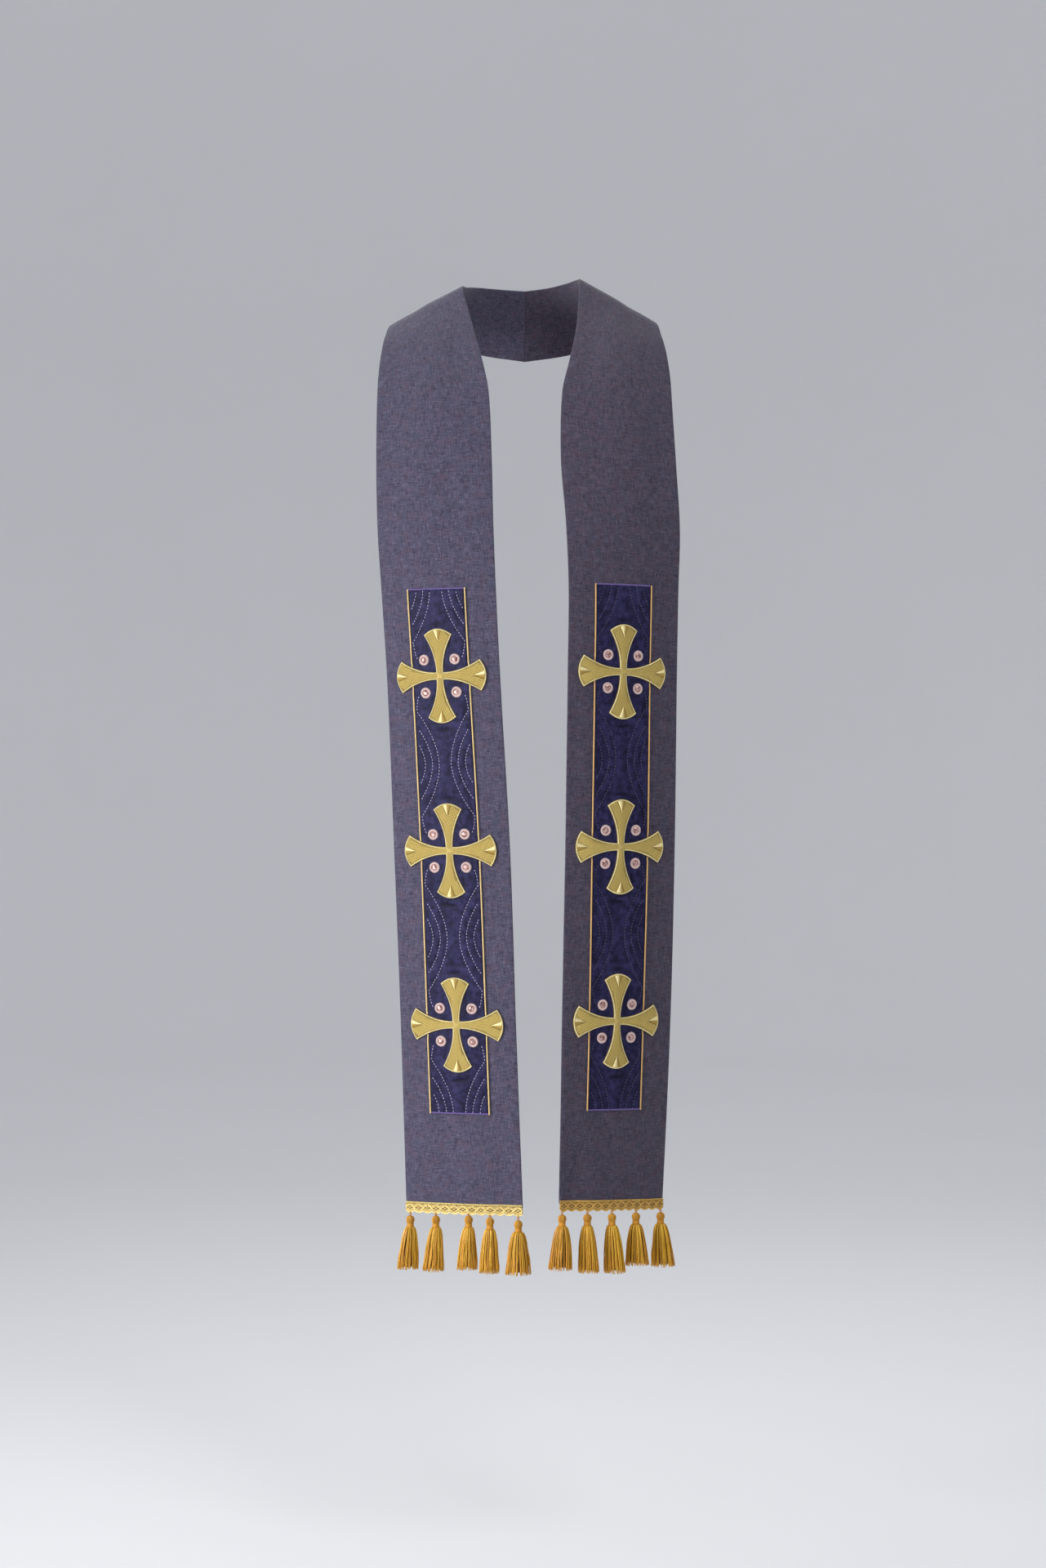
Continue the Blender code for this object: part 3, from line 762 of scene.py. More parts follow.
def resample(path, count):
    """Points evenly spaced along a polyline."""
    gone = np.concatenate([[0.0], np.linalg.norm(np.diff(path, axis=0), axis=1).cumsum()])
    at = np.linspace(0, gone[-1], count)
    return np.stack([np.interp(at, gone, path[:, axis]) for axis in range(path.shape[1])], axis=1)


def path_length(path):
    return float(np.linalg.norm(np.diff(path, axis=0), axis=1).sum())


def finish_threads(name, threads, place, material, nodes):
    """Join all the threads in one mesh, carry them to where they lie, and finish the piece."""
    return finish_piece(name, threads.mesh(name, place), material, nodes)


print("sides of a thread:", {"round": len(ROUND), "square": len(SQUARE), "laid": len(LAID)})

# %% [markdown]
# ## Thread finishes
#
# Metal thread is a fine strip wound round a core, and yarn is twisted, so both show slanting lines round
# them. A shared group draws those lines from the thread's own UV map, as a height for the bump and as
# painted shade that deepens the colour in the grooves between the wraps. It varies the shade from thread
# to thread with the tint. Each material then sets its own colours, gloss and pitch.

# %% Thread material
def own_value(tree, name):
    """A number that each point of the mesh carries."""
    return node(tree, "ShaderNodeAttribute", attribute_name=name).outputs["Fac"]


fibres, made_in, made_out = group(
    "Wound fibres",
    [("Light", "NodeSocketColor", (1, 1, 1, 1)), ("Deep", "NodeSocketColor", (0, 0, 0, 1)),
     ("Pitch", "NodeSocketFloat", 0.5), ("Uneven", "NodeSocketFloat", 0.5),
     ("Groove", "NodeSocketFloat", 0.4)],
    [("Color", "NodeSocketColor"), ("Height", "NodeSocketFloat")],
)
u, v = cut_millimetres(fibres, "thread")
around = calc(fibres, "DIVIDE", v, 1 / MM)
turns = plus(fibres, calc(fibres, "DIVIDE", u, made_in["Pitch"]), around)
wave = calc(fibres, "SINE", times(fibres, turns, math.tau))
height = spread(fibres, wave, -1.0, 1.0)
tint = own_value(fibres, "tint")
mottle = place_noise(fibres, times(fibres, u, 0.35), times(fibres, tint, 91.0), 1.0, 2.0)
shade = plus(fibres, times(fibres, tint, 0.6), times(fibres, mottle, 0.4))
shade = times(fibres, minus(fibres, 1.0, shade), made_in["Uneven"])
# Painted shade: the colour deepens in the grooves between the wraps
groove_shade = times(fibres, minus(fibres, 1.0, height), made_in["Groove"])
total = node(fibres, "ShaderNodeMath", {0: shade, 1: groove_shade}, operation="ADD", use_clamp=True).outputs[0]
fibres.links.new(blend(fibres, total, made_in["Light"], made_in["Deep"]), made_out["Color"])
fibres.links.new(height, made_out["Height"])


def wound_fibres(tree, light, deep, pitch, uneven, groove_shade):
    """The shared group with one thread's own values. Returns its colour and height."""
    values = {"Light": (*light, 1), "Deep": (*deep, 1), "Pitch": pitch, "Uneven": uneven, "Groove": groove_shade}
    wound = node(tree, "ShaderNodeGroup", node_tree=fibres)
    for label, value in values.items():
        wound.inputs[label].default_value = value
    return wound.outputs["Color"], wound.outputs["Height"]


def thread_material(name, light, deep, pitch, uneven, groove_shade, bump, **looks):
    """A material that is nothing but wound fibres."""
    made, tree, shader = material(name)
    colour, height = wound_fibres(tree, light, deep, pitch, uneven, groove_shade)
    finish(tree, shader, colour, height, bump, 0.1 * MM, **looks)
    return made


print("fibre group:", [item.name for item in fibres.interface.items_tree])

# %% [markdown]
# ## Piece 2: the satin panels
#
# A strip of navy satin lies down the middle of each band. It is thin, so wherever it is stitched it
# dips, and it bulges a little between. The running stitches are drawn first, as lines in the flat
# pattern: between two crosses, three arcs on each side bend in from the cords towards the middle,
# nested in each other, and at both ends there is half of that figure. The innermost arc then turns back
# along the cord to the roundels.

# %% Stitch lines
PANEL_HALF = 35.0 * MM
PANEL_FOOT, PANEL_HEAD = 111.0 * MM, 738.0 * MM
CROSS_UPS = (633.5 * MM, 424.5 * MM, 216.5 * MM)
PANEL_TOP = 1.2 * MM
StitchArc = namedtuple("StitchArc", "apex reach")
STITCH_ARCS = (StitchArc(7.6, 63), StitchArc(16.3, 43), StitchArc(25.4, 24))
ARC_SIDE = 33.0
ARC_POWER = 1.8
# Where the innermost arc goes on to, past the cord: out from the middle line, then along from the middle
ARC_TAIL = ((32.6, 68.0), (31.6, 74.0), (30.4, 79.0), (28.4, 83.5))


def stitch_line(arc, sign, start, end):
    """One stitched line as x and height, from its lower to its upper end, round a middle at zero."""
    along = np.linspace(start * arc.reach, end * arc.reach, 40)
    out = arc.apex + (ARC_SIDE - arc.apex) * np.abs(along / arc.reach) ** ARC_POWER
    line = np.stack([out, along], axis=1)
    if arc is STITCH_ARCS[0]:
        tail = np.array(ARC_TAIL)
        if end > 0:
            line = np.concatenate([line, tail])
        if start < 0:
            line = np.concatenate([tail[::-1] * (1, -1), line])
    return line * (sign, 1) * MM


def stitch_lines():
    """All the lines of one panel."""
    gaps = [(PANEL_HEAD, -1, 0), (PANEL_FOOT, 0, 1)]
    gaps += [((high + low) / 2, -1, 1) for high, low in zip(CROSS_UPS, CROSS_UPS[1:])]
    lines = []
    for middle, start, end in gaps:
        for arc in STITCH_ARCS:
            lines += [stitch_line(arc, sign, start, end) + (0, middle) for sign in (-1, 1)]
    return lines


lines = stitch_lines()
print("stitched lines:", len(lines), "metres:", round(sum(path_length(line) for line in lines), 2))

# %% [markdown]
# The satin itself is a fine grid. Its height is worked out from the stitched lines (a search tree finds
# the nearest one to each point) and from a short table of puckers that the stiff crosses push up ahead of
# their arms. Satin reflects along its threads, so its highlight is set to stretch, and its deep colour
# comes from a dark weft under a bluer warp, with darker and paler clouds from the same noise that rumples
# its surface. Light hardly gets into the bottom of a pucker, so each point also carries the pucker's
# depth, and the colour is darkened there as painted shade.

# %% Satin material
satin, tree, shader = material("navy_satin")
x, y = cut_millimetres(tree, "cut")
fine = calc(tree, "SINE", times(tree, x, math.tau / 0.45))
slow = place_noise(tree, times(tree, x, 0.055), times(tree, y, 0.02), 1.0, 3.0, 0.55)
nap = place_noise(tree, times(tree, x, 1.1), times(tree, y, 0.16), 1.0, 2.0)
mottle = place_noise(tree, x, y, 0.14, 3.0, 0.6)
colour = blend(tree, spread(tree, slow, 0.35, 0.65), (0.012, 0.011, 0.040, 1), (0.025, 0.023, 0.077, 1))
colour = blend(tree, spread(tree, nap, 0.38, 0.62, 0.0, 0.38), colour, (0.034, 0.029, 0.092, 1))
colour = blend(tree, spread(tree, mottle, 0.54, 0.34, 0.0, 0.75), colour, (0.007, 0.006, 0.022, 1))
colour = blend(tree, spread(tree, mottle, 0.56, 0.74, 0.0, 0.45), colour, (0.044, 0.040, 0.112, 1))
crease = own_value(tree, "crease")
# Painted shade: the colour darkens at the bottom of the puckers
colour = blend(tree, spread(tree, crease, 0.08, 0.55, 0.0, 0.8), colour, (0.005, 0.004, 0.014, 1))
rumple = plus(tree, times(tree, fine, 0.04), times(tree, nap, 0.35))
rumple = plus(tree, plus(tree, rumple, slow), times(tree, mottle, 0.8))
finish(tree, shader, colour, rumple, 0.6, 0.9 * MM, Roughness=0.47, Sheen_Weight=0.03,
       Sheen_Roughness=0.35, Anisotropic=0.45, Specular_IOR_Level=0.11)
print("nodes in the satin:", len(tree.nodes))

# %% [markdown]
# Each row of the table is one pucker: the cross that it lies by, its place from the middle of that
# cross, its reach each way, its lean, and its depth in millimetres (a negative depth is a ridge). The
# upper rows lie at the ends of the upright arms, and the lower ones in the corners between the arms and
# along the cords.

# %% Puckers
PUCKER_STRENGTH = 1.35
Pucker = namedtuple("Pucker", "cross x up half_width half_height lean depth")
PUCKERS = (
    Pucker(0, 1, -64.5, 10, 2.4, 0.06, 0.55), Pucker(0, -3, -60.5, 8, 1.6, -0.1, -0.35),
    Pucker(0, 0, 62.0, 12, 3.0, 0.05, 0.40), Pucker(0, 9, 68.0, 7, 2.2, -0.3, -0.35),
    Pucker(1, -2, -65.0, 11, 2.6, -0.05, 0.50), Pucker(1, 3, -60.8, 7, 1.6, 0.12, -0.35),
    Pucker(1, 1, 63.0, 13, 2.6, -0.04, 0.45), Pucker(1, -6, 70.0, 9, 3.0, 0.2, -0.3),
    Pucker(2, 2, -66.0, 12, 2.4, 0.14, 0.55), Pucker(2, -4, -61.0, 8, 1.8, 0.05, -0.35),
    Pucker(2, 0, 62.0, 10, 2.4, 0.05, 0.45), Pucker(2, 5, 72.0, 8, 3.0, -0.15, 0.3),
    Pucker(0, 14, 38.0, 2.4, 9, 0.0, 0.4), Pucker(0, -15, 34.0, 2.2, 8, 0.0, 0.35),
    Pucker(1, 15, -36.0, 2.4, 9, 0.0, 0.4), Pucker(1, -13, 37.0, 2.4, 8, 0.0, 0.35),
    Pucker(2, 13, 35.0, 2.2, 8, 0.0, 0.35), Pucker(2, -15, -35.0, 2.4, 9, 0.0, 0.4),
    Pucker(0, 28, -40.0, 3.0, 12, 0.0, 0.35), Pucker(1, 29, 44.0, 3.0, 13, 0.0, 0.4),
    Pucker(1, 30, -48.0, 2.6, 14, 0.0, 0.4), Pucker(2, -29, 45.0, 3.0, 12, 0.0, 0.35),
    Pucker(0, 19, 79.0, 6, 1.6, -0.9, 0.4), Pucker(0, 26, 72.0, 5, 1.4, -0.8, 0.35),
    Pucker(1, 24, -74.0, 5, 1.4, 0.7, 0.35), Pucker(2, -24, -72.0, 5, 1.5, -0.6, 0.3),
    Pucker(0, -24, -78.0, 5, 1.4, -0.7, 0.3), Pucker(1, -25, 76.0, 5, 1.5, 0.6, 0.3),
)


def crease_depth(flat):
    """How deep the puckers are at points of the satin's pattern, in mm. A ridge counts as less than 0."""
    depth = np.zeros(len(flat))
    for pucker in PUCKERS:
        along = flat[:, 0] / MM - pucker.x
        across = flat[:, 1] / MM - CROSS_UPS[pucker.cross] / MM - pucker.up - pucker.lean * along
        shape = np.exp(-((along / pucker.half_width) ** 2) - (across / pucker.half_height) ** 2)
        depth += PUCKER_STRENGTH * pucker.depth * shape
    return depth


print("puckers:", len(PUCKERS))

# %% [markdown]
# The stitched lines are cut into points less than a millimetre apart, and the search tree is filled
# with them. From there on, `satin_height` can say how high the satin lies at any place: a puff between
# the lines, a trough along each, the puckers, and a hem that rolls down at all four edges.

# %% Satin panels
PANEL_COLUMNS, PANEL_ROWS = 54, 480
TROUGH_DEPTH, TROUGH_HALF = 0.45 * MM, 1.25 * MM
PUFF, PUFF_HALF = 0.30 * MM, 4.5 * MM
HEM_ROLL, HEM_DROP = 1.6 * MM, 0.6
SATIN_LEAST = 0.55 * MM
STITCH_STEP = 0.8 * MM


def satin_height(flat, tree_of_stitches):
    """How high the satin lies over the band at points of its pattern."""
    near = np.array([tree_of_stitches.find((point[0], point[1], 0))[2] for point in flat])
    height = PANEL_TOP + PUFF * (1 - np.exp(-((near / PUFF_HALF) ** 2)))
    height -= TROUGH_DEPTH * np.exp(-((near / TROUGH_HALF) ** 2))
    height -= crease_depth(flat) * MM
    rim = np.minimum(PANEL_HALF - np.abs(flat[:, 0]),
                     np.minimum(flat[:, 1] - PANEL_FOOT, PANEL_HEAD - flat[:, 1]))
    roll = np.clip(1 - rim / HEM_ROLL, 0, 1) ** 2
    return np.maximum(height, SATIN_LEAST) * (1 - HEM_DROP * roll)


points = np.concatenate([resample(line, int(path_length(line) / STITCH_STEP)) for line in lines])
stitch_tree = KDTree(len(points))
for index, point in enumerate(points):
    stitch_tree.insert((point[0], point[1], 0), index)
stitch_tree.balance()
print("points on the stitched lines:", len(points))

for side, band in BANDS.items():
    bm = bmesh.new()
    verts = flat_grid(bm, PANEL_COLUMNS, PANEL_ROWS)
    bmesh.ops.scale(bm, verts=verts, vec=(2 * PANEL_HALF, PANEL_HEAD - PANEL_FOOT, 1))
    bmesh.ops.translate(bm, verts=verts, vec=(-PANEL_HALF, PANEL_FOOT, 0))
    mesh = mesh_from(bm, f"satin_{side}")
    flat = read_points(mesh)
    keep_cut(mesh, flat)
    crease = mesh.attributes.new("crease", "FLOAT", "POINT")
    crease.data.foreach_set("value", crease_depth(flat).astype(np.float32))
    flat[:, 2] = satin_height(flat, stitch_tree)
    write_points(mesh, band.place(flat))
    finish_piece(mesh.name, mesh, satin, [f"panel_{side}"])

# %% [markdown]
# ## Piece 3: the running stitches
#
# A running stitch goes under and over, so only dashes show: about 2.4 mm of thread, then 1.4 mm of satin.
# Each dash is a short thread whose ends dive into the cloth. The thread is a pale lavender. On the
# wearer's left, the band in shade, it is given a much deeper colour near to the satin's, which is painted
# shade, so it shows much less.

# %% Running stitches
DASH, DASH_PITCH = 2.4 * MM, 3.8 * MM
DASH_RADIUS = 0.36 * MM
DASH_HEIGHTS = np.array([-0.25, 0.16, 0.26, 0.16, -0.25]) * MM

stitch_thread = {
    "right": thread_material("lavender_thread", (0.64, 0.59, 0.76), (0.38, 0.33, 0.54),
                             0.7, 0.7, 0.25, 0.3, Roughness=0.5, Sheen_Weight=0.2),
    # Painted shade: the same lavender thread, darkened for the shaded band
    "left": thread_material("lavender_thread_painted_shade", (0.100, 0.088, 0.160), (0.040, 0.034, 0.080),
                            0.7, 0.8, 0.25, 0.3, Roughness=0.55, Sheen_Weight=0.2),
}


def dashes(line, random):
    """Dashes along one line, as short paths in the flat pattern."""
    length = path_length(line)
    starts = np.arange(random.uniform(0.3, 1.4) * MM, length - DASH, DASH_PITCH)
    starts += random.uniform(-0.25, 0.25, len(starts)) * MM
    gone = np.concatenate([[0.0], np.linalg.norm(np.diff(line, axis=0), axis=1).cumsum()])
    stretch = random.uniform(0.85, 1.08, len(starts))[:, None]
    at = starts[:, None] + np.linspace(0, DASH, len(DASH_HEIGHTS))[None] * stretch
    x = np.interp(at, gone, line[:, 0]) + random.uniform(-0.18, 0.18, len(starts))[:, None] * MM
    return np.stack([x, np.interp(at, gone, line[:, 1]), np.zeros_like(x)], axis=-1)


for number, (side, band) in enumerate(BANDS.items()):
    threads = Threads(seed=11 + number)
    for line in lines:
        paths = dashes(line, threads.random)
        ground = satin_height(paths.reshape(-1, 3), stitch_tree).reshape(paths.shape[:2])
        paths[:, :, 2] = ground + DASH_HEIGHTS
        threads.add(paths, DASH_RADIUS)
    finish_threads(f"running_stitch_{side}", threads, band.place, stitch_thread[side], [])

# %% [markdown]
# ## Piece 4: the violet end lines
#
# The panel's two short ends are closed with a narrow line of satin stitch: hundreds of small threads
# side by side, each going over the edge and back into the cloth.

# %% End lines
violet_thread = thread_material("violet_thread", (0.200, 0.120, 0.420), (0.070, 0.040, 0.180),
                                0.6, 0.8, 0.2, 0.3, Roughness=0.42, Sheen_Weight=0.3)
END_PITCH, END_RADIUS = 0.56 * MM, 0.33 * MM
END_SLANT = 0.25
END_ACROSS = np.array([-0.95, -0.45, 0.45, 0.95]) * MM
END_HEIGHTS = np.array([0.1, 1.35, 1.35, 0.1]) * MM
for number, (side, band) in enumerate(BANDS.items()):
    threads = Threads(seed=21 + number)
    for height in (PANEL_FOOT, PANEL_HEAD):
        x = np.arange(-PANEL_HALF, PANEL_HALF, END_PITCH)
        paths = np.zeros((len(x), 4, 3))
        paths[:, :, 0] = x[:, None] + END_ACROSS * END_SLANT
        paths[:, :, 1] = height + END_ACROSS + threads.random.uniform(-0.12, 0.12, len(x))[:, None] * MM
        paths[:, :, 2] = END_HEIGHTS
        threads.add(paths, END_RADIUS)
    finish_threads(f"end_line_{side}", threads, band.place, violet_thread, [])

# %% [markdown]
# ## Piece 5: the couched cords
#
# A gold cord runs down both long sides of each panel, laid on the cloth and caught down with small
# stitches. It is two strands twisted together, so each strand is a helix. It is pressed flat where a cross
# arm lies over it. The cord of the shaded band is given a deeper gold, which is painted shade, and so is
# its braid.

# %% Cords
CORD_MIDDLE = PANEL_HALF + 1.4 * MM
CORD_TWIST = 4.6 * MM
CORD_WIND, STRAND = 0.50 * MM, 0.62 * MM
CORD_BASE = 0.4 * MM
CORD_REACH, CORD_STEP = 1.2 * MM, 0.82 * MM
PRESSED_HALF, PRESSED_RAMP = 14.0 * MM, 3.5 * MM
PRESSED_SHARE = 0.36
gold_cord = {
    "right": thread_material("gold_cord_right", (1.00, 0.83, 0.44), (0.44, 0.23, 0.04),
                             0.55, 0.30, 0.55, 0.6, Roughness=0.30, Metallic=0.60),
    # Painted shade: a deeper gold for the cord of the shaded band
    "left": thread_material("gold_cord_left_painted_shade", (0.90, 0.62, 0.28), (0.36, 0.16, 0.03),
                            0.55, 0.40, 0.55, 0.6, Roughness=0.30, Metallic=0.60),
}


def cord_height(up):
    """The share of its full height that the cord keeps: less under a cross arm."""
    near = np.min([np.abs(up - cross) for cross in CROSS_UPS], axis=0)
    return PRESSED_SHARE + (1 - PRESSED_SHARE) * np.clip((near - PRESSED_HALF) / PRESSED_RAMP, 0, 1)


for side, band in BANDS.items():
    for edge, sign in (("inner", -1), ("outer", 1)):
        threads = Threads(seed=31)
        up = np.arange(PANEL_FOOT - CORD_REACH, PANEL_HEAD + CORD_REACH, CORD_STEP)
        for strand in (0, math.pi):
            turn = math.tau * up / CORD_TWIST + strand
            path = np.stack([np.cos(turn) * CORD_WIND + sign * MIRROR[side] * CORD_MIDDLE, up,
                             (CORD_WIND + STRAND) * 0.9 + np.sin(turn) * CORD_WIND], axis=1)
            path[:, 2] = CORD_BASE + path[:, 2] * cord_height(up)
            threads.add(path[None], STRAND, section=ROUND, flat=0.9, tints=[0.75])
        finish_threads(f"couched_cord_{side}_{edge}", threads, band.place, gold_cord[side],
                       [f"cord_{side}_{edge}"])

# %% [markdown]
# ## Piece 6: the crosses
#
# Each cross is padded and then covered with gold thread. The pad is cut first: a small square heart and
# four arms that flare along a curve and end in an arc. An arm is one unit grid, bent by `arm_point`,
# and turned to its quarter. The long upright arms and the crossbar differ a little in width.
#
# The same pattern serves all six crosses, so it is worked out once and carried to six places.

# %% The form of a cross
WAIST = 4.1 * MM
Arm = namedtuple("Arm", "half corner bulge")
UPRIGHT = Arm(17.4 * MM, 49.2 * MM, 7.2 * MM)
CROSSBAR = Arm(18.7 * MM, 50.2 * MM, 6.8 * MM)
ARMS = (UPRIGHT, CROSSBAR, UPRIGHT, CROSSBAR)
FLARE = 2.05
PAD_EDGE, PAD_CROWN = 0.75 * MM, 1.0 * MM
CROSS_UNDER, ARM_END_UNDER = 1.5 * MM, 0.5 * MM
DROOP_FROM, DROOP_TO = 38.0 * MM, 53.0 * MM


def arm_point(arm, reach, out):
    """A place on an upward arm: reach is -1 to 1 across, and out is 0 at the heart to 1 at the end."""
    half = WAIST + (arm.half - WAIST) * out**FLARE
    end = arm.corner + arm.bulge * (1 - reach**2)
    return np.stack([reach * half, WAIST + (end - WAIST) * out], axis=-1)


def arm_shares(arm, x, y):
    """The reach and out of a place on an arm, found by trying and correcting."""
    reach = np.zeros_like(x)
    for _ in range(10):
        end = arm.corner + arm.bulge * (1 - np.clip(reach, -1, 1) ** 2)
        out = np.clip((y - WAIST) / (end - WAIST), 0, 1.3)
        reach = x / (WAIST + (arm.half - WAIST) * out**FLARE)
    return reach, out


def pad_height(reach):
    """A pad is highest along the middle of its arm."""
    return PAD_EDGE + PAD_CROWN * (1 - np.clip(reach, -1, 1) ** 2)


def turned(points, quarter):
    """Turn points of an upward arm to one of the four quarters."""
    angle = quarter * math.pi / 2
    cosine, sine = math.cos(angle), math.sin(angle)
    return points @ np.array([[cosine, sine, 0], [-sine, cosine, 0], [0, 0, 1]])


def cross_under(x):
    """The underside of a cross lies over the panel and cord, then comes down to the band past them."""
    share = np.clip((np.abs(x) - DROOP_FROM) / (DROOP_TO - DROOP_FROM), 0, 1)
    return CROSS_UNDER + (ARM_END_UNDER - CROSS_UNDER) * share


def lay_cross(band, up):
    """What carries a cross's own pattern onto a band at one height."""
    def place(flat):
        lift = cross_under(flat[:, 0])
        return band.place(flat + np.stack([np.zeros_like(lift), np.full_like(lift, up), lift], axis=1))
    return place


tip = arm_point(UPRIGHT, 0.0, 1.0)[1]
print("an upright arm reaches", round(tip / MM, 1), "mm from the middle")

# %% [markdown]
# The arms and the heart are welded where they meet. Then the open edge is drawn down to the cloth and a
# little way out, which gives the pad a sloping rim for the edge stitches to wrap, and the foot is closed.
# Where the rim shows past the stitches, its dark colour is painted shadow round the cross.

# %% Cross pads
PAD_COLUMNS, PAD_ROWS = 8, 14
PAD_RIM, WELD = 0.7 * MM, 0.01 * MM

bm = bmesh.new()
for vert in flat_grid(bm, PAD_COLUMNS, PAD_COLUMNS):
    reach = np.array([2 * vert.co.x - 1, 2 * vert.co.y - 1])
    vert.co = (*(reach * WAIST), pad_height(np.min(np.abs(reach))))
for quarter, arm in enumerate(ARMS):
    verts = flat_grid(bm, PAD_COLUMNS, PAD_ROWS)
    for vert in verts:
        reach = 2 * vert.co.x - 1
        vert.co = (*arm_point(arm, reach, vert.co.y), pad_height(reach))
    quarter_turn = Matrix.Rotation(quarter * math.pi / 2, 3, "Z")
    bmesh.ops.rotate(bm, verts=verts, cent=(0, 0, 0), matrix=quarter_turn)
bmesh.ops.remove_doubles(bm, verts=bm.verts[:], dist=WELD)
border = [edge for edge in bm.edges if edge.is_boundary]
feet = verts_in(bmesh.ops.extrude_edge_only(bm, edges=border)["geom"])
bmesh.ops.translate(bm, verts=feet, vec=(0, 0, -0.5 * MM))
bmesh.ops.recalc_face_normals(bm, faces=bm.faces[:])
bm.normal_update()
for vert in feet:
    vert.co = (vert.co.x + vert.normal.x * PAD_RIM, vert.co.y + vert.normal.y * PAD_RIM, 0.0)
bmesh.ops.holes_fill(bm, edges=[edge for edge in bm.edges if edge.is_boundary], sides=0)
bmesh.ops.recalc_face_normals(bm, faces=bm.faces[:])
pad_pattern = mesh_from(bm, "cross_pad_pattern")
pad_flat = read_points(pad_pattern)
print("pad pattern:", len(pad_flat), "points,", [round(v / MM, 1) for v in np.ptp(pad_flat, axis=0)], "mm")

# %% [markdown]
# ## Gold over the pads
#
# Close up the upright arms show slanting ridges that rise to the right: thick gold threads laid side by
# side and held by tiny stitches in a brick pattern. On the crossbar they are finer and steeper. To make
# them, parallel lines are drawn across each arm, and only what lies inside its edge, and outside the
# small wedge at its end, is kept.

# %% Laid ridges
Fill = namedtuple("Fill", "angle pitch radius")
FILLS = (Fill(41, 1.22 * MM, 0.51 * MM), Fill(57, 1.00 * MM, 0.44 * MM))
EDGE_BAND = 1.15 * MM
WEDGE_HALF, WEDGE_LENGTH, WEDGE_END = 5.2 * MM, 14.0 * MM, 1.2 * MM
RIDGE_POINTS, RIDGE_LIFT, RIDGE_LEAST = 9, 0.12 * MM, 1.0 * MM
DRAWN_REACH, DRAWN_STEPS = 75 * MM, 601


def wedge_share(arm, y):
    """How far down the wedge a height is: 0 at its point, 1 at its base."""
    return (y - (arm.corner + arm.bulge - WEDGE_END - WEDGE_LENGTH)) / WEDGE_LENGTH


def runs(mask):
    """Where each unbroken run of true values starts and ends."""
    change = np.flatnonzero(np.diff(np.concatenate([[0], mask.astype(int), [0]])))
    return change.reshape(-1, 2)


def laid_ridges(arm, quarter, fill):
    """The paths of the slanting threads on one arm."""
    angle = math.radians(fill.angle - 90 * quarter)
    ahead = np.array([math.cos(angle), math.sin(angle)])
    aside = np.array([-math.sin(angle), math.cos(angle)])
    steps = np.linspace(-DRAWN_REACH, DRAWN_REACH, DRAWN_STEPS)
    paths = []
    for offset in np.arange(-DRAWN_REACH, DRAWN_REACH, fill.pitch):
        line = aside * offset + steps[:, None] * ahead
        reach, out = arm_shares(arm, line[:, 0], line[:, 1])
        half = WAIST + (arm.half - WAIST) * out**FLARE
        inside = (line[:, 1] > WAIST * 0.2) & (out < 1 - EDGE_BAND / arm.corner)
        inside &= np.abs(reach) < 1 - EDGE_BAND / half
        share = wedge_share(arm, line[:, 1])
        inside &= ~((share > 0) & (np.abs(line[:, 0]) < WEDGE_HALF * share))
        for start, end in runs(inside):
            if steps[end - 1] - steps[start] < RIDGE_LEAST:
                continue
            path = resample(line[start:end], RIDGE_POINTS)
            reach = arm_shares(arm, path[:, 0], path[:, 1])[0]
            paths.append(np.column_stack([path, pad_height(reach) + RIDGE_LIFT]))
    return paths


ridges = Threads(seed=41)
for quarter, arm in enumerate(ARMS):
    fill = FILLS[quarter % 2]
    paths = np.array([turned(path, quarter) for path in laid_ridges(arm, quarter, fill)])
    # Every second thread's couching is half a stitch further on, which is the brick pattern
    tints = (np.arange(len(paths)) % 2) * 0.5 + 0.25
    if arm is CROSSBAR:
        tints = ridges.random.random(len(paths))
    ridges.add(paths, fill.radius, flat=0.95, tints=tints)
print("laid ridges:", len(ridges.points[0]) // (RIDGE_POINTS * len(LAID)), "on the first arm")

# %% [markdown]
# A rope of small stitches wraps the outline. The wedge is two smooth facets of satin stitch that meet in a
# ridge. The facet that faces the light is given a painted highlight in a bright gold and the other painted
# shade in a deeper gold, so their tints go past 0 and 1. A small cross of a few long threads lies at the
# heart.

# %% Stitched edge, wedges and heart
EDGE_PITCH, EDGE_RADIUS, EDGE_SLANT = 0.68 * MM, 0.39 * MM, 0.22
EDGE_ACROSS = np.array([0.25, -0.20, -0.80, -1.45]) * MM
EDGE_LIFTS = np.array([-0.55, 0.38, 0.60, 0.22]) * MM
EDGE_LEAST = 0.12 * MM
WEDGE_THREADS, WEDGE_RADIUS, WEDGE_RISE = 26, 0.36 * MM, 0.95 * MM
# Painted light: the bright facet is a painted highlight, and the deep one is painted shade on the side
# away from the light
PAINTED_LIT_FACET, PAINTED_SHADE_FACET = 1.2, -1.7
PAINTED_SHADE_SIDES = (1, -1, -1, 1)  # the side of the wedge that is deeper, arm by arm
HEART_REACH, HEART_HEIGHT, HEART_RADIUS, HEART_TINT = 3.3, 1.85, 0.34 * MM, -0.6


def arm_outline(arm):
    """The outline of an upward arm, from the foot of its left side round to the foot of its right side."""
    out = np.linspace(0, 1, 60)
    across = np.linspace(-1, 1, 40)
    left = arm_point(arm, np.full_like(out, -1.0), out)
    end = arm_point(arm, across, np.ones_like(across))
    right = arm_point(arm, np.full_like(out, 1.0), out[::-1])
    return np.concatenate([left, end[1:-1], right])


